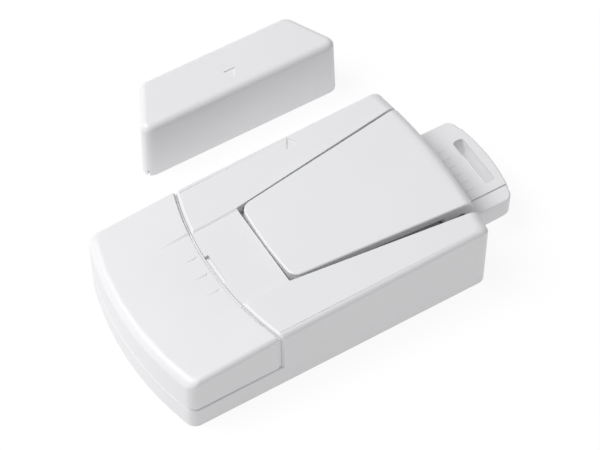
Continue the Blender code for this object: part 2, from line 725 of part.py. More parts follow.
def belt_clip():
    """The clip plate with a lip at its free end and a barrel on the hinge pin."""
    start = POCKET_X + GAP
    side_end = end_x(CLIP_HALF + CLIP_FLARE * (LENGTH / 2 - start), CLIP_END_IN)
    half_end = CLIP_HALF + CLIP_FLARE * (side_end - start)
    steps = [k / END_STEPS * 2 - 1 for k in range(END_STEPS + 1)]
    right = [(end_x(t * half_end, CLIP_END_IN), t * half_end) for t in steps]
    free = [(start + CLIP_BOW, CLIP_HALF), (start + CLIP_BOW, -CLIP_HALF)]
    inner_y = CLIP_HALF - CLIP_CORNER
    bow_r = bow_radius(inner_y, CLIP_BOW)
    bow_turn = atan2(inner_y, bow_r - CLIP_BOW)
    bow = arc(start + bow_r, 0, bow_r, pi - bow_turn, pi + bow_turn, 4)
    corner = start + CLIP_BOW + CLIP_CORNER
    upper = arc(corner, inner_y, CLIP_CORNER, pi / 2 + CLIP_FLARE, pi, CORNER_STEPS + 1)[:-1]
    lower = arc(corner, -inner_y, CLIP_CORNER, pi, 3 * pi / 2 - CLIP_FLARE, CORNER_STEPS + 1)[1:]
    outline = right + upper + bow + lower
    bm = bmesh.new()
    base = PIVOT_Z - BARREL_R
    ring = [bm.verts.new((x, y, base)) for x, y in outline]
    floor = bm.faces.new(ring)
    raised = bmesh.ops.extrude_face_region(bm, geom=[floor])["geom"]
    for item in raised:
        if isinstance(item, bmesh.types.BMVert):
            item.co.z = clip_z(item.co.x)
    end_rim = [edge for edge in bm.edges if is_end_rim(edge, base, side_end)]
    bmesh.ops.bevel(bm, geom=end_rim, offset=CLIP_END_ROUND, segments=4, profile=0.5,
                    affect="EDGES", material=-1)
    clip = add_object("belt_clip", bm, WHITE, PIVOT)
    lip_x = start + CLIP_LIP
    barrel_x = PIVOT_X - BARREL_R
    under = [(lip_x, 0), (barrel_x, 0), (barrel_x, clip_z(barrel_x) - CLIP_THICK),
             (lip_x, clip_z(lip_x) - CLIP_THICK)]
    cut(clip, side_prism("cut_under_clip", under, -FAR, FAR))
    cut(clip, block("cut_under_lip", (-FAR, lip_x + MM), (-FAR, FAR), (0, POCKET_Z + GAP)))
    around = block("cut_barrel", (barrel_x - MM, FAR), (-FAR, FAR), (0, PIVOT_Z))
    cut(clip, cut(around, rod("keep_barrel", PIVOT, BARREL_R, WIDTH, axis="Y", steps=32)))
    cut(clip, rod("cut_bore", PIVOT, PIN_R + FIT, WIDTH, axis="Y", steps=16))
    reach = COIL_R + COIL_WIRE + FIT
    slot_x = (PIVOT_X - COIL_LEG, PIVOT_X + reach + FIT)
    cut(clip, block("cut_coil_slot", slot_x, (-COIL_HALF, COIL_HALF), (0, PIVOT_Z + reach)))
    return clip


def is_end_rim(edge, base, side_end):
    """True for the clip's top edges along the bowed end."""
    ends = [vert.co for vert in edge.verts]
    high = all(end.z > base + MM for end in ends)
    return high and all(end.x > side_end - 0.01 * MM for end in ends)


def clip_pin():
    length = 2 * (pocket_half(PIVOT_X) + PIN_HOLD)
    return rod("clip_pin", PIVOT, PIN_R, length, STEEL, axis="Y", steps=16)


def clip_spring():
    """A torsion spring on the pin, one leg under the plate and one on the pocket floor."""
    spread = COIL_HALF - 2 * FIT - COIL_WIRE
    steps = 12 * COIL_TURNS + 6
    path = [(PIVOT_X - COIL_LEG, -spread, PIVOT_Z + COIL_R - COIL_WIRE)]
    for step in range(steps + 1):
        turn = pi / 2 - 2 * pi * step / 12
        y = spread * (2 * step / steps - 1)
        path.append((PIVOT_X + COIL_R * cos(turn), y, PIVOT_Z + COIL_R * sin(turn)))
    path.append((PIVOT_X - COIL_LEG, spread, PIVOT_Z - COIL_R + COIL_LEG_RISE))
    return tube("clip_spring", path, COIL_WIRE, STEEL)


def pull_tab():
    """The flat tab with its strap slot, and the tongue that holds the blades apart."""
    inner = LENGTH / 2 - TAB_IN
    tip = LENGTH / 2 + TAB_OUT
    shoulder = tip - TAB_BOW
    radius = bow_radius(TAB_HALF - TAB_CORNER, TAB_BOW / 2)
    turn = atan2(TAB_HALF - TAB_CORNER, radius - TAB_BOW / 2)
    corner_x = shoulder + TAB_BOW / 2 - TAB_CORNER
    lower = arc(corner_x, TAB_CORNER - TAB_HALF, TAB_CORNER, -pi / 2, -turn, 4)[:-1]
    bow = arc(tip - radius, 0, radius, -turn, turn, 8)
    upper = arc(corner_x, TAB_HALF - TAB_CORNER, TAB_CORNER, turn, pi / 2, 4)[1:]
    outline = lower + bow + upper + [(inner, TAB_HALF), (inner, -TAB_HALF)]
    origin = (LENGTH / 2, 0, (TAB_LOW + TAB_TOP) / 2)
    tab = prism("pull_tab", outline, TAB_LOW, TAB_TOP, WHITE, origin)
    for side in (-1, 1):
        y = sorted((side * FAR, side * (TAB_HALF - SHOULDER)))
        cut(tab, block(f"cut_shoulder_{side}", (0, FAR), y, (TAB_TOP - SHOULDER_DROP, FAR)))
    slot_x = tip - SLOT_BAR - SLOT_WIDE / 2
    slot = rounded(rectangle(slot_x, 0, SLOT_WIDE / 2, SLOT_LONG / 2), SLOT_WIDE / 2 - 0.05 * MM, 4)
    cut(tab, prism("cut_strap_slot", slot, 0, FAR))
    tongue_z = (TONGUE_Z - TONGUE_FLAT / 2, TONGUE_Z + TONGUE_FLAT / 2)
    weld(tab, block("add_tongue", (inner - TONGUE_LONG, inner + MM),
                    (-TONGUE_WIDE / 2, TONGUE_WIDE / 2), tongue_z))
    return tab


def blade_x():
    """x of the blades' roots, at the face of their base."""
    tongue_tip = LENGTH / 2 - TAB_IN - TONGUE_LONG
    return tongue_tip + BLADE_OVERLAP - BLADE_LONG - FIT


def blade_pivot():
    z = TONGUE_Z + TONGUE_FLAT / 2 + FIT + BLADE_THICK / 2
    return (blade_x(), 0, z)


def switch():
    """The base on the board and the two blades that the tongue holds apart."""
    root = blade_x()
    x = (root + FIT, root + FIT + BLADE_LONG)
    y = (-BLADE_WIDE / 2, BLADE_WIDE / 2)
    rise = TONGUE_FLAT / 2 + FIT
    for name, low, origin in (
        ("switch_blade_upper", TONGUE_Z + rise, blade_pivot()),
        ("switch_blade_lower", TONGUE_Z - rise - BLADE_THICK, (0, 0, 0)),
    ):
        block(name, x, y, (low, low + BLADE_THICK), NICKEL, origin)
    base_y = (-BASE_WIDE / 2, BASE_WIDE / 2)
    high = TONGUE_Z + rise + BLADE_THICK + MM
    block("switch_base", (root - BASE_LONG, root), base_y, (BOARD_TOP + FIT, high), BLACK)


def sounder_place():
    return (BAY_X + DIVIDER + CUP_R + 2.5 * MM, WIDTH / 2 - 2 * CUP_R)


def sounder():
    """The piezo disc in its resonator cup, hung below the pocket floor."""
    x, y = sounder_place()
    top = POCKET_Z - POCKET_WALL - GAP
    low = top - CUP_HIGH
    inner = CUP_R - CUP_WALL
    hole = inner / 4
    profile = [(hole, top), (CUP_R, top), (CUP_R, low), (inner, low),
               (inner, top - CUP_WALL), (hole, top - CUP_WALL), (hole, top)]
    bm = bmesh.new()
    points = [bm.verts.new((radius, 0, height)) for radius, height in profile[:-1]]
    pairs = zip(points, points[1:] + points[:1])
    edges = [bm.edges.new(pair) for pair in pairs]
    bmesh.ops.spin(bm, geom=points + edges, cent=(0, 0, 0), axis=(0, 0, 1),
                   angle=2 * pi, steps=32, use_merge=True)
    bmesh.ops.remove_doubles(bm, verts=bm.verts, dist=0.001 * MM)
    bmesh.ops.translate(bm, vec=(x, y, 0), verts=bm.verts)
    add_object("sounder_cup", bm, BLACK)
    disc_z = low + GAP + DISC_THICK / 2
    rod("sounder_disc", (x, y, disc_z), inner - GAP, DISC_THICK, BRASS, steps=32)
    ceramic_z = disc_z + DISC_THICK + FIT
    rod("sounder_ceramic", (x, y, ceramic_z), CERAMIC_R, DISC_THICK, CERAMIC, steps=32)


def screw(name, x, y, head_z, head_r, head, radius, length):
    """A pan-head screw pointing up."""
    tip = head_z + head + length
    profile = [(0, head_z), (head_r * 0.85, head_z), (head_r, head_z + head / 3),
               (head_r, head_z + head), (radius, head_z + head), (radius, tip - radius),
               (radius / 3, tip), (0, tip)]
    turned(name, profile, (x, y, 0), STEEL, steps=16)


def screws():
    for index, (x, y) in enumerate(plate_boss_places()):
        length = SCREW_LONG - SCREW_HEAD
        screw(f"plate_screw_{index + 1}", x, y, FIT, SCREW_HEAD_R, SCREW_HEAD, SCREW_R, length)
    head_z = BOARD_Z - FIT - BOARD_SCREW_HEAD
    for index, (x, y) in enumerate(board_boss_places()):
        screw(f"board_screw_{index + 1}", x, y, head_z, BOARD_SCREW_HEAD_R, BOARD_SCREW_HEAD,
              BOARD_SCREW_R, BOARD_SCREW_LONG)


def circuit_board():
    x = (BOARD_X, BOARD_X + BOARD_LONG)
    y = (-BOARD_HALF, BOARD_HALF)
    board = block("circuit_board", x, y, (BOARD_Z, BOARD_TOP), BOARD)
    for index, (x, y) in enumerate(board_boss_places()):
        cut(board, rod(f"cut_board_hole_{index}", (x, y, BOARD_Z), BOARD_SCREW_R + FIT,
                       4 * BOARD_THICK, steps=16))
    return board


def reed_switch():
    """The glass capsule with its leads bent down to the board, opposite the magnet."""
    x = MAGNET_X - 2 * MM
    y = BOARD_HALF - 2 * MM
    z = BOARD_TOP + REED_LIFT
    half = REED_LONG / 2
    profile = [(0, -half), (REED_R * 0.7, -half + 0.2 * REED_R), (REED_R, -half + REED_R),
               (REED_R, half - REED_R), (REED_R * 0.7, half - 0.2 * REED_R), (0, half)]
    glass = turned("reed_switch", profile, (x, y, z), GLASS, axis="X", steps=12)
    span = REED_SPAN / 2
    foot = BOARD_TOP + FIT
    path = [(x - span, y, foot), (x - span, y, z - MM), (x - span + MM, y, z),
            (x + span - MM, y, z), (x + span, y, z - MM), (x + span, y, foot)]
    return weld(glass, tube("add_reed_leads", path, REED_LEAD_R, GLASS))


def components():
    """Plain parts on the board's upper face."""
    z = BOARD_TOP + FIT
    left = BOARD_X
    right = BOARD_X + BOARD_LONG
    cup_x, cup_y = sounder_place()
    block("control_chip", (cup_x, cup_x + 8 * MM), (cup_y, cup_y + 6 * MM), (z, z + 1.6 * MM), BLACK)
    crystal = rounded(rectangle(left + 7 * MM, cup_y - 6 * MM, 5 * MM, 2 * MM), 1.9 * MM, 4)
    prism("crystal", crystal, z, z + 3.2 * MM, NICKEL)
    core_r = 4.0 * MM
    core = [(0, z), (core_r, z), (core_r, z + MM), (core_r * 0.8, z + 1.4 * MM),
            (core_r * 0.8, z + 6.6 * MM), (core_r, z + 7 * MM), (core_r, z + 8 * MM),
            (0, z + 8 * MM)]
    turned("boost_coil", core, (right - 9 * MM, 10 * MM - BOARD_HALF, 0), COPPER, steps=20)
    can_r = 2.5 * MM
    can = [(0, z), (can_r, z), (can_r, z + 6.7 * MM), (can_r * 0.88, z + 7 * MM), (0, z + 7 * MM)]
    turned("capacitor", can, (right - 2.8 * MM, 12.5 * MM - BOARD_HALF, 0), BLACK, steps=20)
    flat = [(-2.3 * MM, 0), (2.3 * MM, 0)]
    body = flat + arc(0, 0, 2.3 * MM, 0, pi, 8)[1:-1]
    spot = (left + 14 * MM, 3.0 * MM - BOARD_HALF)
    prism("transistor", [(x + spot[0], y + spot[1]) for x, y in body], z, z + 4.6 * MM, BLACK)
    lead, thick = 0.3 * MM, 0.95 * MM
    for index in range(3):
        profile = [(0, -4 * MM), (lead, -4 * MM), (lead, -2.6 * MM), (thick, -2.4 * MM),
                   (thick, 2.4 * MM), (lead, 2.6 * MM), (lead, 4 * MM), (0, 4 * MM)]
        place = (left + 6 * MM + index * 3.2 * MM, cup_y - 14.5 * MM, z + thick)
        turned(f"resistor_{index + 1}", profile, place, RESISTOR, axis="Y", steps=10)


def cell(name, x, side):
    """A cell lying along Y with its nub towards side."""
    inner = WIDTH / 2 - TRAY_WALL - FIT - CONTACT_THICK
    nub_y = inner - FIT
    body = CELL_LENGTH - NUB_HEIGHT
    end = nub_y - NUB_HEIGHT
    soft = 0.5 * MM
    profile = [(0, end - body), (CELL_R - soft, end - body), (CELL_R, end - body + soft),
               (CELL_R, end - soft), (CELL_R - soft, end), (NUB_R, end), (NUB_R, nub_y),
               (0, nub_y)]
    centre = (x, 0, CELL_Z)
    item = turned(name, [(radius, side * along) for radius, along in profile], centre, CELL,
                  axis="Y", steps=28)
    return item


def contact(name, x, side):
    """A contact plate that stands against the tray's side wall."""
    outer = WIDTH / 2 - TRAY_WALL - FIT
    y = sorted((side * outer, side * (outer - CONTACT_THICK)))
    return block(name, x, y, (CONTACT_LOW, CONTACT_HIGH), NICKEL)


def contact_spring(name, x, side):
    """A cone of wire between a plate and a cell's flat end."""
    plate = WIDTH / 2 - TRAY_WALL - FIT - CONTACT_THICK
    start = plate - FIT - CONE_WIRE
    cell_end = plate - FIT - CELL_LENGTH
    end = -cell_end + FIT + CONE_WIRE
    steps = int(10 * CONE_TURNS)
    path = []
    for step in range(steps + 1):
        share = step / steps
        radius = CONE_R + (CONE_TIP_R - CONE_R) * share
        turn = 2 * pi * CONE_TURNS * share
        y = start + (end - start) * share
        path.append((x + radius * cos(turn), side * y, CELL_Z + radius * sin(turn)))
    return tube(name, path, CONE_WIRE, NICKEL)


def batteries():
    """Two cells in series, with the plates and springs at their ends."""
    half = CONTACT_WIDE / 2
    cell("battery_cell_1", CELL_1_X, 1)
    cell("battery_cell_2", CELL_2_X, -1)
    contact("contact_bridge", (CELL_1_X - half, CELL_2_X + half), 1)
    contact("contact_negative", (CELL_1_X - half, CELL_1_X + half), -1)
    contact("contact_positive", (CELL_2_X - half, CELL_2_X + half), -1)
    contact_spring("contact_spring_1", CELL_1_X, -1)
    contact_spring("contact_spring_2", CELL_2_X, 1)


def wires():
    """Insulated leads from the contacts and the sounder to the board."""
    plate_y = -(WIDTH / 2 - TRAY_WALL - 2 * FIT - CONTACT_THICK - WIRE_R)
    low = TRAY_FLOOR + GAP + 2 * WIRE_R
    window_y = -(CRADLE_Y + CRADLE_WIDTH + 2 * MM)
    board_z = BOARD_TOP + FIT + WIRE_R
    edge = BAY_X + DIVIDER
    for name, finish, x, apart in (
        ("wire_positive", RED, CELL_2_X, -0.8 * MM),
        ("wire_negative", DARK, CELL_1_X, 0.8 * MM),
    ):
        start = x + CONTACT_WIDE / 2 - MM
        y = window_y + apart
        route = [(start, plate_y, CONTACT_LOW - MM), (start + MM, plate_y, low + MM),
                 (start + 2.5 * MM, (plate_y + y) / 2, low), (BAY_X - 2 * MM, y, low),
                 (edge + MM, y, low), (edge + 4 * MM, y, low + MM),
                 (BOARD_X, y, board_z + MM), (BOARD_X + 3 * MM, y + apart, board_z)]
        tube(name, smooth_path(route), WIRE_R, finish)
    cup_x, cup_y = sounder_place()
    cup_low = POCKET_Z - POCKET_WALL - GAP - CUP_HIGH
    for name, finish, apart in (
        ("wire_sounder_1", RED, -2.2 * MM),
        ("wire_sounder_2", DARK, 2.2 * MM),
    ):
        x = cup_x + 6 * MM
        y = cup_y - 5 * MM
        route = [(x, y + apart, cup_low - 2 * GAP), (x + 2 * MM, y + apart - MM, cup_low - 2 * MM),
                 (x + 4 * MM, y + apart - 2 * MM, board_z)]
        tube(name, smooth_path(route), WIRE_R, finish)


def magnet_corners():
    front = MAGNET_FRONT / 2
    rear = MAGNET_REAR / 2
    far = MAGNET_Y + MAGNET_DEEP
    return [(MAGNET_X - front, MAGNET_Y), (MAGNET_X + front, MAGNET_Y),
            (MAGNET_X + rear, far), (MAGNET_X - rear, far)]


def magnet_outline(inset, corner):
    return rounded(shrunk(magnet_corners(), inset), corner)


def magnet_origin():
    return (MAGNET_X, MAGNET_Y + MAGNET_DEEP / 2, 0)


def magnet_housing():
    """The tapered shell, with two ribs that the bar magnet sits between."""
    rings = [[(x, y, 0) for x, y in magnet_outline(0, MAGNET_CORNER)]]
    for step in range(ROUND_STEPS + 1):
        turn = pi / 2 * step / ROUND_STEPS
        inset = MAGNET_DRAFT + MAGNET_ROUND * (1 - cos(turn))
        z = MAGNET_HIGH - MAGNET_ROUND * (1 - sin(turn))
        rings.append([(x, y, z) for x, y in magnet_outline(inset, MAGNET_CORNER)])
    shell = loft("magnet_housing", rings, WHITE, magnet_origin())
    hollow = magnet_outline(MAGNET_WALL + MAGNET_DRAFT / 2, MAGNET_CORNER - MAGNET_WALL / 2)
    cavity = prism("cut_magnet_hollow", hollow, -MM, MAGNET_HIGH - MAGNET_WALL)
    for side in (-1, 1):
        near = MAGNET_X + side * (BAR_LONG / 2 + FIT)
        x = sorted((near, near + side * RIB))
        y = (MAGNET_Y, MAGNET_Y + MAGNET_DEEP)
        cut(cavity, block(f"keep_rib_{side}", x, y, (BAR_LOW, MAGNET_HIGH)))
    recess = prism("cut_lid", magnet_outline(LID_EDGE, MAGNET_CORNER - LID_EDGE), -MM,
                   LID_THICK + FIT)
    return cut(shell, cavity, recess)


def magnet_bar():
    y = bar_y()
    x = (MAGNET_X - BAR_LONG / 2, MAGNET_X + BAR_LONG / 2)
    return block("magnet_bar", x, y, (BAR_LOW, BAR_LOW + BAR_HIGH), FERRITE, magnet_origin())


def bar_y():
    near = MAGNET_Y + MAGNET_WALL + MAGNET_DRAFT + GAP
    return (near, near + BAR_DEEP)


def magnet_lid():
    """The snap-in lid with two posts under the bar magnet and a recess for its pad."""
    outline = magnet_outline(LID_EDGE + FIT, MAGNET_CORNER - LID_EDGE)
    lid = prism("magnet_lid", outline, 0, LID_THICK, WHITE, magnet_origin())
    near, far = bar_y()
    for side in (-1, 1):
        x = MAGNET_X + side * BAR_LONG / 4
        post = block(f"add_post_{side}", (x - RIB, x + RIB), (near, far),
                     (LID_THICK / 2, BAR_LOW - FIT))
        weld(lid, post)
    cut(lid, prism("cut_lid_pad", pad_outline(FIT), -MM, PAD_THICK + FIT))
    return lid


def pad_outline(grow):
    x, y, _ = magnet_origin()
    return rectangle(x, y, MAGNET_REAR / 2 - 6 * MM + grow, MAGNET_DEEP / 2 - 4 * MM + grow)


def pads():
    """Foam pads, flush with the faces that they stick to the wall."""
    for index, x in enumerate(pad_places()):
        outline = rectangle(x, 0, PAD_LONG / 2, PAD_WIDE / 2)
        prism(f"sensor_pad_{index + 1}", outline, 0, PAD_THICK, FOAM)
    prism("magnet_pad", pad_outline(0), 0, PAD_THICK, FOAM, magnet_origin())


def main():
    clear_scene()
    housing()
    battery_cover()
    back_plate()
    belt_clip()
    clip_pin()
    clip_spring()
    pull_tab()
    switch()
    sounder()
    screws()
    circuit_board()
    reed_switch()
    components()
    batteries()
    wires()
    magnet_housing()
    magnet_bar()
    magnet_lid()
    pads()


main()
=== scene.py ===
"""The looks of a battery door contact alarm: sensor body, battery cover, belt clip, pull tab and
magnet unit in white ABS, with the cells, contacts, board and sounder inside them."""

from math import cos, pi, radians, sin, sqrt

import bmesh
import bpy
from mathutils import Matrix, Vector


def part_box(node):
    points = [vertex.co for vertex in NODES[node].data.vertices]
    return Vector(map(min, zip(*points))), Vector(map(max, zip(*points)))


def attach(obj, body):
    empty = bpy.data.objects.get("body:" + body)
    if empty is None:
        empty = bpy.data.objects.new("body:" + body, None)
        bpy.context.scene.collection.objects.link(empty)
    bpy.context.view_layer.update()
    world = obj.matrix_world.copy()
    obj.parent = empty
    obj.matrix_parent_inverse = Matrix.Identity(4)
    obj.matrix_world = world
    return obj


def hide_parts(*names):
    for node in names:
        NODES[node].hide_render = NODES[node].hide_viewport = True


bl_info = {
    "name": "Door Contact Alarm",
    "version": (1, 0, 0),
    "blender": (4, 5, 0),
    "location": "View3D > Sidebar > Door Contact",
    "description": "Builds the pieces and finishes of a door contact alarm on its frame",
    "category": "Object",
}

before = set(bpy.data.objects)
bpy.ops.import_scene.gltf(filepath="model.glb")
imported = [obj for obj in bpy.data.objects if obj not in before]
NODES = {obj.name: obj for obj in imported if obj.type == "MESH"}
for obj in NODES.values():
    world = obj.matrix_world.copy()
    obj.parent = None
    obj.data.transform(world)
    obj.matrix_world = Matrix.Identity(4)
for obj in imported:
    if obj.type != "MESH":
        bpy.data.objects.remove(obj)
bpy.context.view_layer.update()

MM = 0.001
FAR = 90 * MM
GAP = 0.4 * MM
FIT = 0.3 * MM
FLAT_ANGLE = radians(0.6)  # faces that meet flatter than this are joined

# Sensor body
END_X = 47.6 * MM
HALF_WIDE = 27.0 * MM
PAST_SIDE = HALF_WIDE + 3 * MM  # half width of a cutter that goes past both sides
TAB_END_BOW = 2.3 * MM
COVER_END_BOW = 4.3 * MM
MID_HEIGHT = 21.6 * MM
TOP_SLOPE = 0.0295
WALL = 1.8 * MM
TOP_WALL = 2.0 * MM
END_CUTS = 28
PORTS = 5
PORT_PITCH = 3.5 * MM
PORT_HALF = 0.8 * MM
PORT_Z = (8 * MM, 16 * MM)

# Battery bay and cover
PARTING_Z = 7.5 * MM
COVER_WALL = 1.5 * MM
TRAY_WALL = 1.6 * MM
TRAY_FLOOR = 1.8 * MM
CELL_R = 5.25 * MM
CELL_X = (-36.1 * MM, -25.2 * MM)
CELL_Z = 9.6 * MM
BAY_X = -19.0 * MM
DIVIDER = 1.6 * MM
SEAM_X = -21.7 * MM
SEAM_BOW = 4.2 * MM
SEAM_CUTS = 40
COVER_SLOPE = 0.075
COVER_LEVEL = 1.8 * MM
SEAM_CLEAR = 0.12 * MM
SEAM_DEEP = 0.75 * MM
CRADLE = (14.0 * MM, 15.5 * MM)
CRADLE_TOP = 6.5 * MM
TONGUES = ((0.0, 4.6 * MM), (-16.0 * MM, 2.5 * MM), (16.0 * MM, 2.5 * MM))
TONGUE_THICK = 1.3 * MM
TONGUE_REACH = 5.7 * MM
TONGUE_ROOT = 3.0 * MM
HOOK_LONG = 2.2 * MM
HOOK_HIGH = 1.2 * MM
HOOK_WIDE = 1.3 * MM
HOOK_Z = 14.2 * MM
NOTCH_HALF = 4.75 * MM
NOTCH_DEEP = 1.2 * MM

# Finger strip, clip and its pocket
STRIP_HALF = 12.6 * MM
STRIP_RISE = 2.0 * MM
STRIP_LEAN = 1.7
STRIP_FADE = 12.7 * MM
POCKET_X = -6.65 * MM
POCKET_HALF = 13.35 * MM
POCKET_FLARE = 0.1315
POCKET_REAR_FLARE = 0.123
POCKET_Z = 17.6 * MM
POCKET_WALL = 1.6 * MM
CLIP_HALF = 13.05 * MM
CLIP_FLARE = 0.095
CLIP_REAR_FLARE = 0.103
CLIP_PROUD = 0.4 * MM
CLIP_SLOPE = 0.0445
CLIP_THICK = 2.4 * MM
CLIP_END_IN = 0.5 * MM
CLIP_CORNER = 2.9 * MM
CLIP_BOW = 0.4 * MM
CLIP_ROLL = 3.4 * MM
CLIP_LIP = 1.6 * MM
PIVOT = Vector((42.3 * MM, 0, 19.248 * MM))
BARREL_R = 4.8 * MM
TROUGH_R = 5.15 * MM
PIN_R = 0.9 * MM

# Spring slot through the clip's barrel
SPRING_SLOT_X = 6.4 * MM
SPRING_SLOT_HALF = 4.5 * MM
SPRING_REACH = 2.3 * MM

# Pull tab
TAB_HALF = 15.2 * MM
TAB_Z = (5.298 * MM, 12.298 * MM)
TAB_X = (29.6 * MM, 63.0 * MM)
TAB_BOW = 2.2 * MM
TAB_CORNER = 2.1 * MM
CHANNEL_WALL = 1.6 * MM
SHOULDER = 4.5 * MM
SHOULDER_STEP = 0.5 * MM
SLOT_X = 58.5 * MM
SLOT_HALVES = (1.7 * MM, 8.1 * MM)
KEY_LONG = 12.5 * MM
KEY_HALF = 3 * MM
KEY_Z = (7.6 * MM, 8.8 * MM)
RIB_X = (50.6 * MM, 53.8 * MM)
RIB_HALF = 0.35 * MM
RIB_PROUD = 0.1 * MM

# Magnet unit
MAGNET_X = 15.8 * MM
MAGNET_Y = (48.2 * MM, 65.2 * MM)
MAGNET_HALVES = (32.0 * MM, 23.5 * MM)
MAGNET_HIGH = 19.5 * MM
MAGNET_DRAFT = 0.6 * MM
MAGNET_END_WALL = 2.6 * MM
MAGNET_SIDE_WALL = 1.9 * MM
MAGNET_TOP_WALL = 1.7 * MM
LID_DEEP = 1.8 * MM

# Engraved marks
MARK_LONG = 3.0 * MM
MARK_WIDE = 3.6 * MM
MARK_LINE = 0.42 * MM
BODY_MARK = (15.9 * MM, 22.8 * MM)
MAGNET_MARK = (0.1 * MM, 4.6 * MM)
MAGNET_MARK_TURN = 6.1 * MM
TICKS_Y = (5.6 * MM, -0.2 * MM, -6.0 * MM)
TICK_IN = 1.1 * MM
TICK_LONG = 3.4 * MM
TICK_HALF = 0.16 * MM
TICK_SINK = 0.04 * MM
DIMPLE_R = 0.42 * MM

# Kinds of rim where a cut meets a piece's outer skin
SKIN, PLAIN, CRISP, SOFT, BROAD = range(5)


class SensorSizes(bpy.types.PropertyGroup):
    """Roundings and marks that can be tuned without touching the fits"""

    side_round: bpy.props.FloatProperty(
        name="Side rounding", description="Rounding of the body's long top edges",
        default=1.5 * MM, unit="LENGTH")
    tab_end_round: bpy.props.FloatProperty(
        name="Tab end rounding", description="Rounding of the top at the pull tab's end",
        default=3.4 * MM, unit="LENGTH")
    cover_end_round: bpy.props.FloatProperty(
        name="Cover end rounding", description="Rounding of the top at the battery cover's end",
        default=2.6 * MM, unit="LENGTH")
    corner_round: bpy.props.FloatProperty(
        name="Corner rounding", description="Rounding of the body's upright corners",
        default=2.1 * MM, unit="LENGTH")
    crisp_edge: bpy.props.FloatProperty(
        name="Crisp edge", description="Break on moulded edges",
        default=0.22 * MM, unit="LENGTH")
    soft_edge: bpy.props.FloatProperty(
        name="Soft edge", description="Break on edges that fingers meet",
        default=0.5 * MM, unit="LENGTH")
    broad_edge: bpy.props.FloatProperty(
        name="Broad edge", description="Rounded lip of the housing along the cover's seam",
        default=0.85 * MM, unit="LENGTH")
    seam_gap: bpy.props.FloatProperty(
        name="Seam", description="Width of the open seam between housing and cover",
        default=0.8 * MM, unit="LENGTH")
    strip_deep: bpy.props.FloatProperty(
        name="Strip depth", description="Depth of the finger strip below the top",
        default=0.45 * MM, unit="LENGTH")
    mark_deep: bpy.props.FloatProperty(
        name="Mark depth", description="Depth of the engraved marks",
        default=0.28 * MM, unit="LENGTH")
    magnet_round: bpy.props.FloatProperty(
        name="Magnet rounding", description="Rounding of the magnet unit's top edges",
        default=2.0 * MM, unit="LENGTH")


class SensorColours(bpy.types.PropertyGroup):
    """Colours of the main finishes"""

    shell: bpy.props.FloatVectorProperty(
        name="Shell", description="White ABS of every outer piece", subtype="COLOR",
        size=3, min=0, max=1, default=(0.80, 0.80, 0.815))
    board: bpy.props.FloatVectorProperty(
        name="Board", description="Solder mask of the circuit board", subtype="COLOR",
        size=3, min=0, max=1, default=(0.012, 0.12, 0.045))
    jacket: bpy.props.FloatVectorProperty(
        name="Cell jacket", description="Printed jacket of the cells", subtype="COLOR",
        size=3, min=0, max=1, default=(0.02, 0.09, 0.16))
    floor: bpy.props.FloatVectorProperty(
        name="Floor", description="Floor that the alarm stands on", subtype="COLOR",
        size=3, min=0, max=1, default=(0.9, 0.9, 0.9))


# ---------------------------------------------------------------- shader maths


class Signal:
    """A shader socket that takes part in plain arithmetic."""

    def __init__(self, finish, socket):
        self.finish = finish
        self.socket = socket

    def maths(self, operation, first, second):
        return self.finish.node("Math", {"operation": operation}, {0: first, 1: second})

    def __add__(self, other):
        return self.maths("ADD", self, other)

    def __radd__(self, other):
        return self.maths("ADD", other, self)

    def __sub__(self, other):
        return self.maths("SUBTRACT", self, other)

    def __rsub__(self, other):
        return self.maths("SUBTRACT", other, self)

    def __mul__(self, other):
        return self.maths("MULTIPLY", self, other)

    def __rmul__(self, other):
        return self.maths("MULTIPLY", other, self)

    def __gt__(self, other):
        return self.maths("GREATER_THAN", self, other)

    def __lt__(self, other):
        return self.maths("LESS_THAN", self, other)


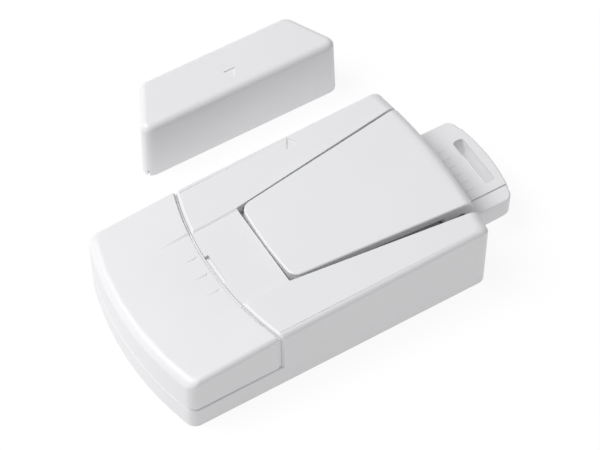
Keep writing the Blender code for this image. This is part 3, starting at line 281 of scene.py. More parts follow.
class Finish:
    """A procedural material built round one Principled shader."""

    def __init__(self, name, colour, roughness, **constants):
        self.material = bpy.data.materials.new(name)
        self.material.use_nodes = True
        self.tree = self.material.node_tree
        self.shader = self.tree.nodes["Principled BSDF"]
        self.shader.inputs["Base Color"].default_value = (*colour, 1)
        self.shader.inputs["Roughness"].default_value = roughness
        for key, value in constants.items():
            self.shader.inputs[key.replace("_", " ")].default_value = value
        self.place = self.node("TexCoord", output="Object")

    def node(self, kind, settings=None, inputs=None, output=0):
        """Adds a node with its settings, then its sockets, and gives one output."""
        made = self.tree.nodes.new("ShaderNode" + kind)
        for key, value in (settings or {}).items():
            if key == "stops":
                self.set_stops(made.color_ramp, value)
            else:
                setattr(made, key, value)
        for key, value in (inputs or {}).items():
            if isinstance(value, Signal):
                self.tree.links.new(value.socket, made.inputs[key])
            else:
                made.inputs[key].default_value = value
        return Signal(self, made.outputs[output])

    def set_stops(self, ramp, stops):
        for index, (position, colour) in enumerate(stops):
            if index < 2:
                stop = ramp.elements[index]
                stop.position = position
            else:
                stop = ramp.elements.new(position)
            stop.color = (*colour, 1) if len(colour) == 3 else colour

    def feed(self, socket, signal):
        self.tree.links.new(signal.socket, self.shader.inputs[socket])
        return self

    def stretched(self, scale, turn=(0, 0, 0)):
        inputs = {"Vector": self.place, "Scale": scale, "Rotation": turn}
        return self.node("Mapping", {}, inputs)

    def noise(self, scale, detail=3.0, rough=0.5, vector=None):
        inputs = {"Vector": vector or self.place, "Scale": scale, "Detail": detail,
                  "Roughness": rough}
        return self.node("TexNoise", {}, inputs, output="Fac")

    def cells(self, scale, feature="F1", output="Distance", vector=None):
        inputs = {"Vector": vector or self.place, "Scale": scale}
        return self.node("TexVoronoi", {"feature": feature}, inputs, output)

    def axis(self, name):
        return self.node("SeparateXYZ", {}, {0: self.place}, output=name)

    def ramp(self, factor, stops):
        return self.node("ValToRGB", {"stops": stops}, {"Fac": factor}, output="Color")

    def mix(self, factor, first, second):
        """A colour between two colours."""
        inputs = {"Factor": factor}
        for key, value in ((6, first), (7, second)):
            inputs[key] = value if isinstance(value, Signal) else (*value, 1)
        return self.node("Mix", {"data_type": "RGBA"}, inputs, output=2)

    def spread(self, factor, low, high):
        """A number from low to high as factor goes from 0.3 to 0.7."""
        inputs = {"Value": factor, "From Min": 0.3, "From Max": 0.7, "To Min": low,
                  "To Max": high}
        return self.node("MapRange", {}, inputs)

    def bump(self, height, strength, distance):
        inputs = {"Height": height, "Strength": strength, "Distance": distance}
        return self.feed("Normal", self.node("Bump", {}, inputs, output="Normal"))


FINISHES = {}


def finish(name):
    """The material of that name, made the first time it is asked for."""
    if name not in FINISHES:
        FINISHES[name] = FINISH_MAKERS[name]().material
    return FINISHES[name]


def darker(colour, share):
    return tuple(part * share for part in colour)


def shell_abs():
    """Moulded white ABS with a fine spark-eroded grain and faint flow shading."""
    colour = bpy.context.scene.sensor_colours.shell
    made = Finish("white_abs", colour, 0.42, IOR=1.53)
    flow = made.noise(38, 2.0)
    grain = made.noise(5200, 2.0, 0.6)
    pits = made.cells(2600)
    tone = made.mix(made.spread(flow, 0, 1), darker(colour, 0.985), colour)
    made.feed("Base Color", tone)
    wear = made.noise(160, 4.0, 0.65)
    made.feed("Roughness", made.spread(wear, 0.38, 0.47))
    return made.bump(grain * 0.7 + pits * 0.3, 0.10, 0.00003)


def foam_tape():
    made = Finish("foam_tape", (0.55, 0.55, 0.53), 0.95)
    cells = made.cells(3200)
    made.feed("Base Color", made.mix(cells, (0.40, 0.40, 0.39), (0.66, 0.66, 0.64)))
    return made.bump(cells, 0.6, 0.0002)


def bright_steel():
    made = Finish("spring_steel", (0.62, 0.63, 0.65), 0.3, Metallic=1.0)
    drawn = made.noise(420, 3.0, 0.6, made.stretched((1, 12, 1)))
    made.feed("Roughness", made.spread(drawn, 0.22, 0.4))
    made.feed("Base Color", made.mix(drawn, (0.50, 0.51, 0.53), (0.72, 0.73, 0.75)))
    return made.bump(drawn, 0.15, 0.00003)


def nickel_plate():
    made = Finish("nickel_plate", (0.72, 0.70, 0.66), 0.25, Metallic=1.0)
    rolled = made.noise(300, 3.0, 0.55, made.stretched((1, 8, 8)))
    made.feed("Roughness", made.spread(rolled, 0.16, 0.34))
    made.feed("Base Color", made.mix(rolled, (0.60, 0.57, 0.52), (0.80, 0.78, 0.74)))
    return made.bump(rolled, 0.12, 0.00003)


def sounder_brass():
    made = Finish("sounder_brass", (0.75, 0.55, 0.25), 0.3, Metallic=1.0)
    tarnish = made.noise(260, 4.0, 0.6)
    tone = made.mix(made.spread(tarnish, 0, 1), (0.55, 0.36, 0.13), (0.8, 0.6, 0.3))
    made.feed("Base Color", tone)
    made.feed("Roughness", made.spread(tarnish, 0.22, 0.45))
    return made.bump(tarnish, 0.1, 0.00003)


def sounder_ceramic():
    made = Finish("sounder_ceramic", (0.78, 0.77, 0.72), 0.5, Metallic=0.3)
    silvered = made.noise(700, 3.0)
    made.feed("Base Color", made.mix(silvered, (0.66, 0.65, 0.6), (0.86, 0.85, 0.8)))
    return made.bump(silvered, 0.2, 0.00003)


def ferrite():
    made = Finish("bar_magnet", (0.06, 0.06, 0.065), 0.6)
    sinter = made.noise(2400, 4.0, 0.7)
    made.feed("Base Color", made.mix(sinter, (0.03, 0.03, 0.032), (0.12, 0.12, 0.125)))
    made.feed("Roughness", made.spread(sinter, 0.5, 0.75))
    return made.bump(sinter, 0.4, 0.00008)


def board_green():
    """Solder mask with the copper tracks showing as paler, raised lines beneath it."""
    colour = bpy.context.scene.sensor_colours.board
    made = Finish("board_green", colour, 0.35, Coat_Weight=0.3)
    tracks = made.cells(420, "DISTANCE_TO_EDGE", "Distance", made.stretched((1, 1.6, 1)))
    line = tracks < 0.07
    pads = made.cells(260) < 0.14
    tone = made.mix(line, colour, (0.02, 0.22, 0.09))
    made.feed("Base Color", made.mix(pads, tone, (0.62, 0.6, 0.52)))
    made.feed("Roughness", 0.34 + pads * 0.1)
    return made.bump(line * 0.5 + pads * 0.8, 0.5, 0.00006)


def component_black():
    made = Finish("component_black", (0.02, 0.02, 0.022), 0.5)
    grain = made.noise(3800, 2.0)
    made.feed("Base Color", made.mix(grain, (0.014, 0.014, 0.016), (0.035, 0.035, 0.037)))
    made.feed("Roughness", made.spread(grain, 0.4, 0.6))
    return made.bump(grain, 0.25, 0.00004)


def resistor_tan():
    """Lacquered body with plain coloured bands along its length."""
    tan, gold, orange = (0.62, 0.47, 0.28), (0.5, 0.35, 0.05), (0.6, 0.2, 0.02)
    brown, black = (0.35, 0.05, 0.02), (0.02, 0.02, 0.02)
    made = Finish("resistor_tan", tan, 0.35)
    centre = (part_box("resistor_1")[0].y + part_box("resistor_1")[1].y) / 2
    along = (made.axis("Y") - centre) * (1 / (3 * MM)) + 0.5
    stops = [(0.0, tan), (0.18, brown), (0.28, tan), (0.4, black), (0.5, tan), (0.6, orange),
             (0.7, tan), (0.84, gold), (0.93, tan)]
    bands = made.node("ValToRGB", {"stops": stops}, {"Fac": along}, output="Color")
    made.tree.nodes[-1].color_ramp.interpolation = "CONSTANT"
    made.feed("Base Color", bands)
    return made.bump(made.noise(1800), 0.15, 0.00004)


def copper_winding():
    """Enamelled wire wound close on a core."""
    made = Finish("copper_winding", (0.6, 0.26, 0.1), 0.3, Metallic=1.0)
    turns = made.node("TexWave", {"bands_direction": "Z"},
                      {"Vector": made.place, "Scale": 620.0, "Distortion": 0.4}, output="Fac")
    made.feed("Base Color", made.mix(turns, (0.32, 0.1, 0.03), (0.75, 0.36, 0.15)))
    return made.bump(turns, 0.8, 0.0001)


def reed_glass():
    made = Finish("reed_glass", (0.42, 0.6, 0.48), 0.08, Transmission_Weight=0.4, IOR=1.5)
    swirl = made.noise(500, 2.0)
    made.feed("Base Color", made.mix(swirl, (0.3, 0.5, 0.38), (0.55, 0.7, 0.58)))
    return made.bump(swirl, 0.1, 0.00005)


def cell_jacket():
    """Plain printed jacket: a dark body with a coppery band at the nub end."""
    colour = bpy.context.scene.sensor_colours.jacket
    made = Finish("cell_jacket", colour, 0.28, Coat_Weight=0.4)
    sheen = made.noise(90, 2.0)
    body = made.mix(sheen, darker(colour, 0.8), colour)
    along = made.axis("Y")
    across = made.axis("X")
    first = across < (CELL_X[0] + CELL_X[1]) / 2
    near = along > 9 * MM
    far = along < -9 * MM
    band = first * near + (1 - first) * far
    made.feed("Base Color", made.mix(band, body, (0.62, 0.3, 0.1)))
    made.feed("Roughness", made.spread(made.noise(700), 0.22, 0.34))
    return made.bump(made.noise(1500), 0.1, 0.00003)


def wire(name, colour):
    made = Finish(name, colour, 0.4)
    smear = made.noise(900, 2.0)
    made.feed("Base Color", made.mix(smear, darker(colour, 0.75), colour))
    return made.bump(smear, 0.15, 0.00004)


def floor_white():
    colour = bpy.context.scene.sensor_colours.floor
    made = Finish("floor_white", darker(colour, 0.12), 0.9, Emission_Strength=0.9,
                  Specular_IOR_Level=0.0)
    made.shader.inputs["Emission Color"].default_value = (1, 1, 1, 1)
    return made


FINISH_MAKERS = {
    "white_abs": shell_abs, "foam_tape": foam_tape, "spring_steel": bright_steel,
    "nickel_plate": nickel_plate, "sounder_brass": sounder_brass,
    "sounder_ceramic": sounder_ceramic, "bar_magnet": ferrite, "board_green": board_green,
    "component_black": component_black, "resistor_tan": resistor_tan,
    "copper_winding": copper_winding, "reed_glass": reed_glass, "cell_jacket": cell_jacket,
    "wire_red": lambda: wire("wire_red", (0.5, 0.02, 0.02)),
    "wire_black": lambda: wire("wire_black", (0.02, 0.02, 0.02)), "floor_white": floor_white,
}


# ---------------------------------------------------------------- forms


def sizes():
    return bpy.context.scene.sensor_sizes


def top_z(x):
    return MID_HEIGHT + TOP_SLOPE * x


def cover_z(x):
    level = SEAM_X + COVER_LEVEL
    return top_z(level) + COVER_SLOPE * (x - level)


def clip_z(x):
    return top_z(POCKET_X) + CLIP_PROUD + CLIP_SLOPE * (x - POCKET_X)


def arc_drop(y, half, bow):
    """How far an arc of that bow over half a width has fallen back at y."""
    radius = (half * half + bow * bow) / (2 * bow)
    return radius - sqrt(max(radius * radius - y * y, 0))


def tab_end_x(y, inset=0.0):
    return END_X - inset - arc_drop(y, HALF_WIDE, TAB_END_BOW)


def cover_end_x(y, inset=0.0):
    return -END_X + inset + arc_drop(y, HALF_WIDE, COVER_END_BOW)


def seam_x(y, offset=0.0):
    return SEAM_X + offset + arc_drop(y, HALF_WIDE, SEAM_BOW)


def bay_edge_x(y, offset=0.0):
    return max(BAY_X, seam_x(y, 0.46 * MM)) + offset


def pocket_side(x, side):
    """y of the pocket's wall at x, on the side of that sign."""
    flare = POCKET_REAR_FLARE if side > 0 else POCKET_FLARE
    return side * (POCKET_HALF + flare * (x - POCKET_X))


def cover_tongue_top():
    return top_z(SEAM_X) - TOP_WALL - GAP


def plate(x, y):
    """A bmesh with one flat face over a rectangle."""
    bm = bmesh.new()
    bmesh.ops.create_grid(bm, x_segments=1, y_segments=1, size=0.5)
    across = Matrix.Diagonal((x[1] - x[0], y[1] - y[0], 1, 1))
    centre = Matrix.Translation(((x[0] + x[1]) / 2, (y[0] + y[1]) / 2, 0))
    bmesh.ops.transform(bm, matrix=centre @ across, verts=bm.verts)
    return bm


def split_edges(bm, pick, cuts):
    edges = [edge for edge in bm.edges if pick(*[vert.co for vert in edge.verts])]
    bmesh.ops.subdivide_edges(bm, edges=edges, cuts=cuts)


def split_ends(bm, cuts):
    """Splits the two edges that run along Y, so that they can be bowed."""
    split_edges(bm, lambda a, b: abs(a.x - b.x) < MM / 10, cuts)


def roll_edges(bm, edges, width, segments=4):
    bmesh.ops.bevel(bm, geom=edges, offset=width, segments=segments, profile=0.5,
                    affect="EDGES", material=-1)


def roll_corners(bm, corners, radius, segments):
    bmesh.ops.bevel(bm, geom=corners, offset=radius, segments=segments, profile=0.5,
                    affect="VERTICES", material=-1)


def round_corners(bm, radius, segments=5):
    corners = [vert for vert in bm.verts if len(vert.link_edges) == 2 and turns(vert)]
    roll_corners(bm, corners, radius, segments)


def turns(vert):
    first, second = vert.link_edges
    a = first.other_vert(vert).co - vert.co
    b = second.other_vert(vert).co - vert.co
    return abs(a.angle(b) - pi) > radians(20)


def shift(bm, move):
    """Moves every vertex by a rule that takes its place and gives its new one."""
    for vert in bm.verts:
        vert.co = Vector(move(*vert.co))


def lift(bm, low, high):
    """Draws a flat plan up into a solid between two heights or rules of x."""
    low_at = low if callable(low) else lambda x: low
    high_at = high if callable(high) else lambda x: high
    drawn = bmesh.ops.extrude_face_region(bm, geom=bm.faces[:])["geom"]
    raised = {item for item in drawn if isinstance(item, bmesh.types.BMVert)}
    for vert in bm.verts:
        vert.co.z = high_at(vert.co.x) if vert in raised else low_at(vert.co.x)
    return close(bm)


def close(bm):
    bmesh.ops.remove_doubles(bm, verts=bm.verts, dist=0.001 * MM)
    bmesh.ops.recalc_face_normals(bm, faces=bm.faces)
    return bm


def box_form(x, y, z):
    return lift(plate(x, y), z[0], z[1])


def rod_form(centre, radius, length, axis="Y", segments=48, taper=1.0):
    bm = bmesh.new()
    bmesh.ops.create_cone(bm, cap_ends=True, segments=segments, radius1=radius,
                          radius2=radius * taper, depth=length)
    turn = {"X": Matrix.Rotation(pi / 2, 4, "Y"), "Y": Matrix.Rotation(-pi / 2, 4, "X"),
            "Z": Matrix.Identity(4)}[axis]
    bmesh.ops.transform(bm, matrix=Matrix.Translation(centre) @ turn, verts=bm.verts)
    return close(bm)


def side_form(profile, y):
    """A solid whose few corners in X and Z are drawn along Y."""
    bm = bmesh.new()
    corners = [bm.verts.new((x, y[0], z)) for x, z in profile]
    bmesh.ops.contextual_create(bm, geom=corners)
    drawn = bmesh.ops.extrude_face_region(bm, geom=bm.faces[:])["geom"]
    for item in drawn:
        if isinstance(item, bmesh.types.BMVert):
            item.co.y = y[1]
    return close(bm)


def body_form(top):
    """The body's outer form under a top rule: drawn up, then rolled in at its rim."""
    size = sizes()
    bm = plate((-END_X, END_X), (-HALF_WIDE, HALF_WIDE))
    round_corners(bm, size.corner_round)
    split_ends(bm, END_CUTS)

    def bowed(x, y, z):
        return (x - arc_drop(y, HALF_WIDE, TAB_END_BOW) if x > 0
                else x + arc_drop(y, HALF_WIDE, COVER_END_BOW), y, z)

    shift(bm, bowed)
    lift(bm, 0, top)
    ring = [face for face in bm.faces if face.normal.z > 0.9]
    steps = 7
    previous = (0.0, 0.0, 0.0)
    for step in range(steps + 1):
        turn = pi / 2 * step / steps
        roll = 1 - cos(turn)
        inset = (size.side_round * roll, size.tab_end_round * roll, size.cover_end_round * roll)
        if step:
            under = ring
            ring = bmesh.ops.extrude_face_region(bm, geom=under)["geom"]
            ring = [item for item in ring if isinstance(item, bmesh.types.BMFace)]
            bmesh.ops.delete(bm, geom=under, context="FACES_ONLY")
        verts = {vert for face in ring for vert in face.verts}
        half_was, half = HALF_WIDE - previous[0], HALF_WIDE - inset[0]
        tab_was, tab = END_X - previous[1], END_X - inset[1]
        cover_was, cover = -END_X + previous[2], -END_X + inset[2]
        for vert in verts:
            share = (vert.co.x - cover_was) / (tab_was - cover_was)
            vert.co.x = cover + share * (tab - cover)
            vert.co.y *= half / half_was
            inward = min(max((half - abs(vert.co.y)) / size.corner_round, 0), 1)
            end_round = size.tab_end_round if vert.co.x > 0 else size.cover_end_round
            rounding = size.side_round + (end_round - size.side_round) * inward
            vert.co.z = top(vert.co.x) - rounding * (1 - sin(turn))
        previous = inset
    return close(bm)


def plan_form(side_inset, end_inset, low, high, left=None):
    """The body's plan inset, or only its part to the right of a rule of y."""
    half = HALF_WIDE - side_inset
    bm = plate((-1 * MM, 1 * MM), (-half, half))
    split_ends(bm, END_CUTS)

    def placed(x, y, z):
        if x > 0:
            return (tab_end_x(y, end_inset), y, z)
        return (left(y) if left else cover_end_x(y, end_inset), y, z)

    shift(bm, placed)
    return lift(bm, low, high)


def band_form(left, right, half, low, high, cuts=END_CUTS):
    """A solid between two rules of y."""
    bm = plate((-1 * MM, 1 * MM), (-half, half))
    split_ends(bm, cuts)
    shift(bm, lambda x, y, z: (right(y) if x > 0 else left(y), y, z))
    return lift(bm, low, high)


def as_object(name, bm, rim=None):
    """A mesh object from bm. With a rim kind it is a cutter, and its cut faces keep it."""
    mesh = bpy.data.meshes.new(name)
    for face in bm.faces:
        face.material_index = rim or 0
        face.smooth = True
    bm.to_mesh(mesh)
    bm.free()
    for _ in range(BROAD + 1):
        mesh.materials.append(finish("white_abs"))
    item = bpy.data.objects.new(name, mesh)
    bpy.context.scene.collection.objects.link(item)
    return item


def combine(item, operation, *tools):
    """Applies Booleans with the tools in turn, and removes the tools."""
    for tool in tools:
        modifier = item.modifiers.new("combine", "BOOLEAN")
        modifier.operation = operation
        modifier.solver = "EXACT"
        modifier.object = tool
    graph = bpy.context.evaluated_depsgraph_get()
    mesh = bpy.data.meshes.new_from_object(item.evaluated_get(graph))
    old = item.data
    item.modifiers.clear()
    item.data = mesh
    bpy.data.meshes.remove(old)
    for tool in tools:
        data = tool.data
        bpy.data.objects.remove(tool)
        bpy.data.meshes.remove(data)
    return item


def cut(item, *tools):
    return combine(item, "DIFFERENCE", *tools)


def weld(item, *tools):
    return combine(item, "UNION", *tools)


def cutter(bm, rim=CRISP):
    return as_object("cutter", bm, rim)


def break_rims(item, widths):
    """Rounds each rim where a cut face meets the outer skin, by the cut's kind."""
    bm = bmesh.new()
    bm.from_mesh(item.data)
    bmesh.ops.remove_doubles(bm, verts=bm.verts, dist=0.004 * MM)
    bmesh.ops.dissolve_limit(bm, angle_limit=FLAT_ANGLE, verts=bm.verts, edges=bm.edges,
                             delimit={"MATERIAL"})
    for kind, width, segments in widths:
        edges = [edge for edge in bm.edges if rim_kind(edge) == kind]
        bmesh.ops.bevel(bm, geom=edges, offset=width, offset_type="OFFSET", segments=segments,
                        profile=0.5, affect="EDGES", material=SKIN, clamp_overlap=False)
    bmesh.ops.remove_doubles(bm, verts=bm.verts, dist=0.004 * MM)
    for face in bm.faces:
        face.material_index = 0
    bm.to_mesh(item.data)
    bm.free()
    return item


def roll_rim(item, picks, width, flatten=True):
    """Rounds the edges that a rule picks, once flat faces are joined where that is asked."""
    bm = bmesh.new()
    bm.from_mesh(item.data)
    if flatten:
        bmesh.ops.dissolve_limit(bm, angle_limit=FLAT_ANGLE, verts=bm.verts, edges=bm.edges)
    roll_edges(bm, [edge for edge in bm.edges if picks(edge)], width)
    bm.to_mesh(item.data)
    bm.free()


def rim_kind(edge):
    """The kind of rim that an edge is, or SKIN where it stays as it is."""
    if len(edge.link_faces) != 2 or edge.calc_face_angle(0) < radians(32):
        return SKIN
    kinds = sorted(face.material_index for face in edge.link_faces)
    return kinds[1] if kinds[0] == SKIN else SKIN


def complete(item, name, body, nodes, slot="white_abs"):
    """Names a piece, gives it its finish and even shading, hangs it on its body, and hides the
    parts it stands for.
    """
    item.name = name
    item.data.name = name
    while len(item.data.materials) > 1:
        item.data.materials.pop()
    item.data.materials[0] = finish(slot)
    item.data.shade_smooth()
    item.data.set_sharp_from_angle(angle=radians(38))
    even = item.modifiers.new("even_shading", "WEIGHTED_NORMAL")
    even.keep_sharp = True
    even.weight = 60
    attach(item, body)
    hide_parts(*nodes)
    return item


# ---------------------------------------------------------------- pieces


def strip_form(left, right, floor):
    """A shallow channel along X whose sides lean outward."""
    bm = plate((left, right), (-STRIP_HALF, STRIP_HALF))
    lift(bm, floor, lambda x: floor(x) + STRIP_RISE)
    for vert in bm.verts:
        if vert.co.z > floor(vert.co.x) + STRIP_RISE / 2:
            vert.co.y *= 1 + STRIP_LEAN * STRIP_RISE / STRIP_HALF
    return close(bm)


def triangle_form(x, y, low):
    """An engraved outline of a triangle that points along +Y."""
    bm = bmesh.new()
    corners = [(x - MARK_WIDE / 2, y, 0), (x + MARK_WIDE / 2, y, 0), (x, y + MARK_LONG, 0)]
    bm.faces.new([bm.verts.new(corner) for corner in corners])
    bmesh.ops.inset_region(bm, faces=bm.faces[:], thickness=MARK_LINE,
                           use_even_offset=True)
    inner = [face for face in bm.faces if all(len(edge.link_faces) == 2 for edge in face.edges)]
    bmesh.ops.delete(bm, geom=inner, context="FACES")
    drawn = bmesh.ops.extrude_face_region(bm, geom=bm.faces[:])["geom"]
    raised = {item for item in drawn if isinstance(item, bmesh.types.BMVert)}
    for vert in bm.verts:
        vert.co.z = FAR if vert in raised else low
    return close(bm)


def build_housing():
    size = sizes()
    body = as_object("housing_shell", body_form(top_z))
    half_gap = size.seam_gap / 2
    space = cutter(band_form(lambda y: -FAR, lambda y: seam_x(y, half_gap), PAST_SIDE,
                             PARTING_Z, FAR, SEAM_CUTS), BROAD)
    outer = HALF_WIDE - COVER_WALL - GAP
    for side in (-1, 1):
        y = sorted((side * outer, side * (outer - HOOK_WIDE)))
        start = bay_edge_x(outer) - HOOK_LONG - GAP
        low = HOOK_Z + HOOK_HIGH + FIT
        cut(space, cutter(box_form((start, FAR), y, (low, low + HOOK_HIGH)), BROAD))
    pocket = plate((POCKET_X, FAR), (-1, 1))
    shift(pocket, lambda x, y, z: (x, pocket_side(x, y), z))
    pocket_cut = cutter(lift(pocket, POCKET_Z, FAR), CRISP)
    narrow = PIVOT.x - 0.8 * TROUGH_R
    near, far = pocket_side(narrow, -1), pocket_side(narrow, 1)
    middle = PIVOT + Vector((0, (near + far) / 2, 0))
    trough = cutter(rod_form(middle, TROUGH_R, far - near), CRISP)
    mouth = cutter(box_form((PIVOT.x, FAR), (near, far), (PIVOT.z - 0.92 * TROUGH_R, FAR)))
    bore = cutter(rod_form(PIVOT, PIN_R + FIT, 3.2 * MM - 2 * near, segments=20), PLAIN)
    channel = cutter(box_form((TAB_X[0] - 3 * MM, FAR), (-TAB_HALF - GAP, TAB_HALF + GAP),
                              (TAB_Z[0] - GAP, TAB_Z[1] + GAP)), SOFT)
    strip = cutter(strip_form(SEAM_X - MM, POCKET_X + MM, lambda x: top_z(x) - size.strip_deep),
                   SOFT)
    low = cover_tongue_top() - TONGUE_THICK - GAP
    notch = cutter(box_form((SEAM_X - MM, seam_x(0, half_gap) + NOTCH_DEEP),
                            (-NOTCH_HALF, NOTCH_HALF), (low, FAR)), CRISP)
    cut(body, space, works_space(), bay_space(), pocket_cut)
    cut(body, trough, mouth, bore, channel, strip, notch)
    windows = []
    for y, wide in TONGUES:
        across = (y - wide - GAP, y + wide + GAP)
        windows.append(cutter(box_form((BAY_X - MM, BAY_X + DIVIDER + MM), across,
                                       (low, cover_tongue_top() + 2 * GAP)), PLAIN))
    windows.append(cutter(box_form((BAY_X - MM, BAY_X + DIVIDER + MM), (-19.5 * MM, -15.5 * MM),
                                   (2.2 * MM, 4.2 * MM)), PLAIN))
    cut(body, *windows)
    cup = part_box("sounder_cup")
    centre = (cup[0].x + cup[1].x) / 2
    ports = []
    for index in range(PORTS):
        x = centre + (index - PORTS // 2) * PORT_PITCH
        port = plate((x - PORT_HALF, x + PORT_HALF), PORT_Z)
        round_corners(port, 0.75 * MM, 6)
        form = lift(port, -HALF_WIDE - MM, -HALF_WIDE + 2 * WALL)
        bmesh.ops.rotate(form, cent=(0, 0, 0), matrix=Matrix.Rotation(pi / 2, 3, "X"),
                         verts=form.verts)
        ports.append(cutter(close(form), CRISP))
    cut(body, *ports)
    recess = cutter(plan_form(0.9 * MM, 0.9 * MM, -MM, 2.3 * MM,
                              lambda y: bay_edge_x(y, DIVIDER / 2)), CRISP)
    cut(body, recess)
    x, y = BODY_MARK
    cut(body, cutter(triangle_form(x, y, top_z(x) - size.mark_deep), PLAIN))
    break_rims(body, ((BROAD, size.broad_edge, 5), (SOFT, size.soft_edge, 4),
                      (CRISP, size.crisp_edge, 3)))
    return complete(body, "housing_shell", "sensor", ["housing"])


def works_space():
    """The hollow on the tab side of the divider, less the pocket, trough and channel walls."""
    space = cutter(plan_form(WALL, WALL, -MM, lambda x: top_z(x) - TOP_WALL,
                             lambda y: bay_edge_x(y, DIVIDER)), PLAIN)
    start = POCKET_X - POCKET_WALL
    pocket = plate((start, FAR), (-1, 1))
    shift(pocket, lambda x, y, z: (x, pocket_side(x, y) + POCKET_WALL * y, z))
    kept = [cutter(lift(pocket, POCKET_Z - POCKET_WALL, FAR), PLAIN)]
    cheek = 2 * (POCKET_WALL - pocket_side(PIVOT.x, -1))
    kept.append(cutter(rod_form(PIVOT, TROUGH_R + POCKET_WALL, cheek), PLAIN))
    side = TAB_HALF + GAP + CHANNEL_WALL
    kept.append(cutter(box_form((TAB_X[0] - 2 * MM, FAR), (-side, side),
                                (TAB_Z[0] - GAP - CHANNEL_WALL, PIVOT.z - TROUGH_R)), PLAIN))
    return cut(space, *kept)


def bay_space():
    """The hollow of the tray, less the cradles."""
    space = cutter(band_form(lambda y: cover_end_x(y, TRAY_WALL), bay_edge_x,
                             HALF_WIDE - TRAY_WALL, TRAY_FLOOR, lambda x: top_z(x) - TOP_WALL),
                   PLAIN)
    for side in (-1, 1):
        ends = sorted(side * y for y in CRADLE)
        cradle = cutter(box_form((-FAR, FAR), ends, (0, CRADLE_TOP)), PLAIN)
        rods = [cutter(rod_form((x, 0, CELL_Z), CELL_R + FIT, 2 * HALF_WIDE), PLAIN)
                for x in CELL_X]
        cut(cradle, *rods)
        cut(space, cradle)
    return space


def build_cover():
    size = sizes()
    half_gap = size.seam_gap / 2
    cap = as_object("cover_shell", body_form(cover_z))
    cut(cap, cutter(band_form(lambda y: seam_x(y, half_gap - SEAM_CLEAR), lambda y: FAR,
                              PAST_SIDE, -MM, FAR, SEAM_CUTS), PLAIN))
    cut(cap, cutter(band_form(lambda y: seam_x(y, -half_gap), lambda y: FAR,
                              PAST_SIDE, lambda x: cover_z(-22 * MM) - SEAM_DEEP, FAR,
                              SEAM_CUTS), CRISP))
    for side in (-1, 1):
        y = sorted((side * (HALF_WIDE - SEAM_DEEP / 2), side * FAR))
        cut(cap, cutter(box_form((seam_x(26.5 * MM, -half_gap), FAR), y, (-MM, FAR)), CRISP))
    cut(cap, cutter(box_form((-FAR, FAR), (-FAR, FAR), (-2 * MM, PARTING_Z + FIT)), CRISP))
    cut(cap, cutter(band_form(lambda y: cover_end_x(y, COVER_WALL), lambda y: 0,
                              HALF_WIDE - COVER_WALL, 0, lambda x: cover_z(x) - COVER_WALL),
                    PLAIN))
    start = seam_x(0, -half_gap)
    fade = start - STRIP_FADE

    def strip_floor(x):
        return cover_z(x) - size.strip_deep * (x - fade) / (start - fade)

    cut(cap, cutter(strip_form(fade, 0, strip_floor), SOFT))
    ticks = []
    for y in TICKS_Y:
        end = seam_x(y, -half_gap) - TICK_IN
        floor = strip_floor(end - 1.6 * MM) - size.mark_deep / 4
        groove = plate((end - TICK_LONG, end), (y - TICK_HALF, y + TICK_HALF))
        ticks.append(cutter(lift(groove, floor - TICK_SINK, FAR), PLAIN))
        dimple = strip_floor(end) - size.mark_deep / 3 + MM / 2
        ticks.append(cutter(rod_form((end, y, dimple), DIMPLE_R, MM, "Z", 20), PLAIN))
    cut(cap, *ticks)
    top = cover_tongue_top()
    adds = []
    for y, wide in TONGUES:
        root = start - TONGUE_ROOT
        tip = start + TONGUE_REACH
        roof = cover_z(root) - COVER_WALL / 2
        neck = start - FIT
        low = top - TONGUE_THICK
        profile = [(root, low), (tip, low), (tip, top), (neck, top), (neck, roof), (root, roof)]
        adds.append(cutter(side_form(profile, (y - wide, y + wide)), PLAIN))
    outer = HALF_WIDE - COVER_WALL
    for side in (-1, 1):
        y = sorted((side * (outer + COVER_WALL / 2), side * (outer - HOOK_WIDE)))
        x = bay_edge_x(outer) - HOOK_LONG
        adds.append(cutter(box_form((x - GAP, x + HOOK_LONG - 2 * GAP), y,
                                    (HOOK_Z, HOOK_Z + HOOK_HIGH)), PLAIN))
    weld(cap, *adds)
    break_rims(cap, ((SOFT, size.soft_edge, 4), (CRISP, size.crisp_edge, 3)))
    return complete(cap, "cover_shell", "cover", ["battery_cover"])


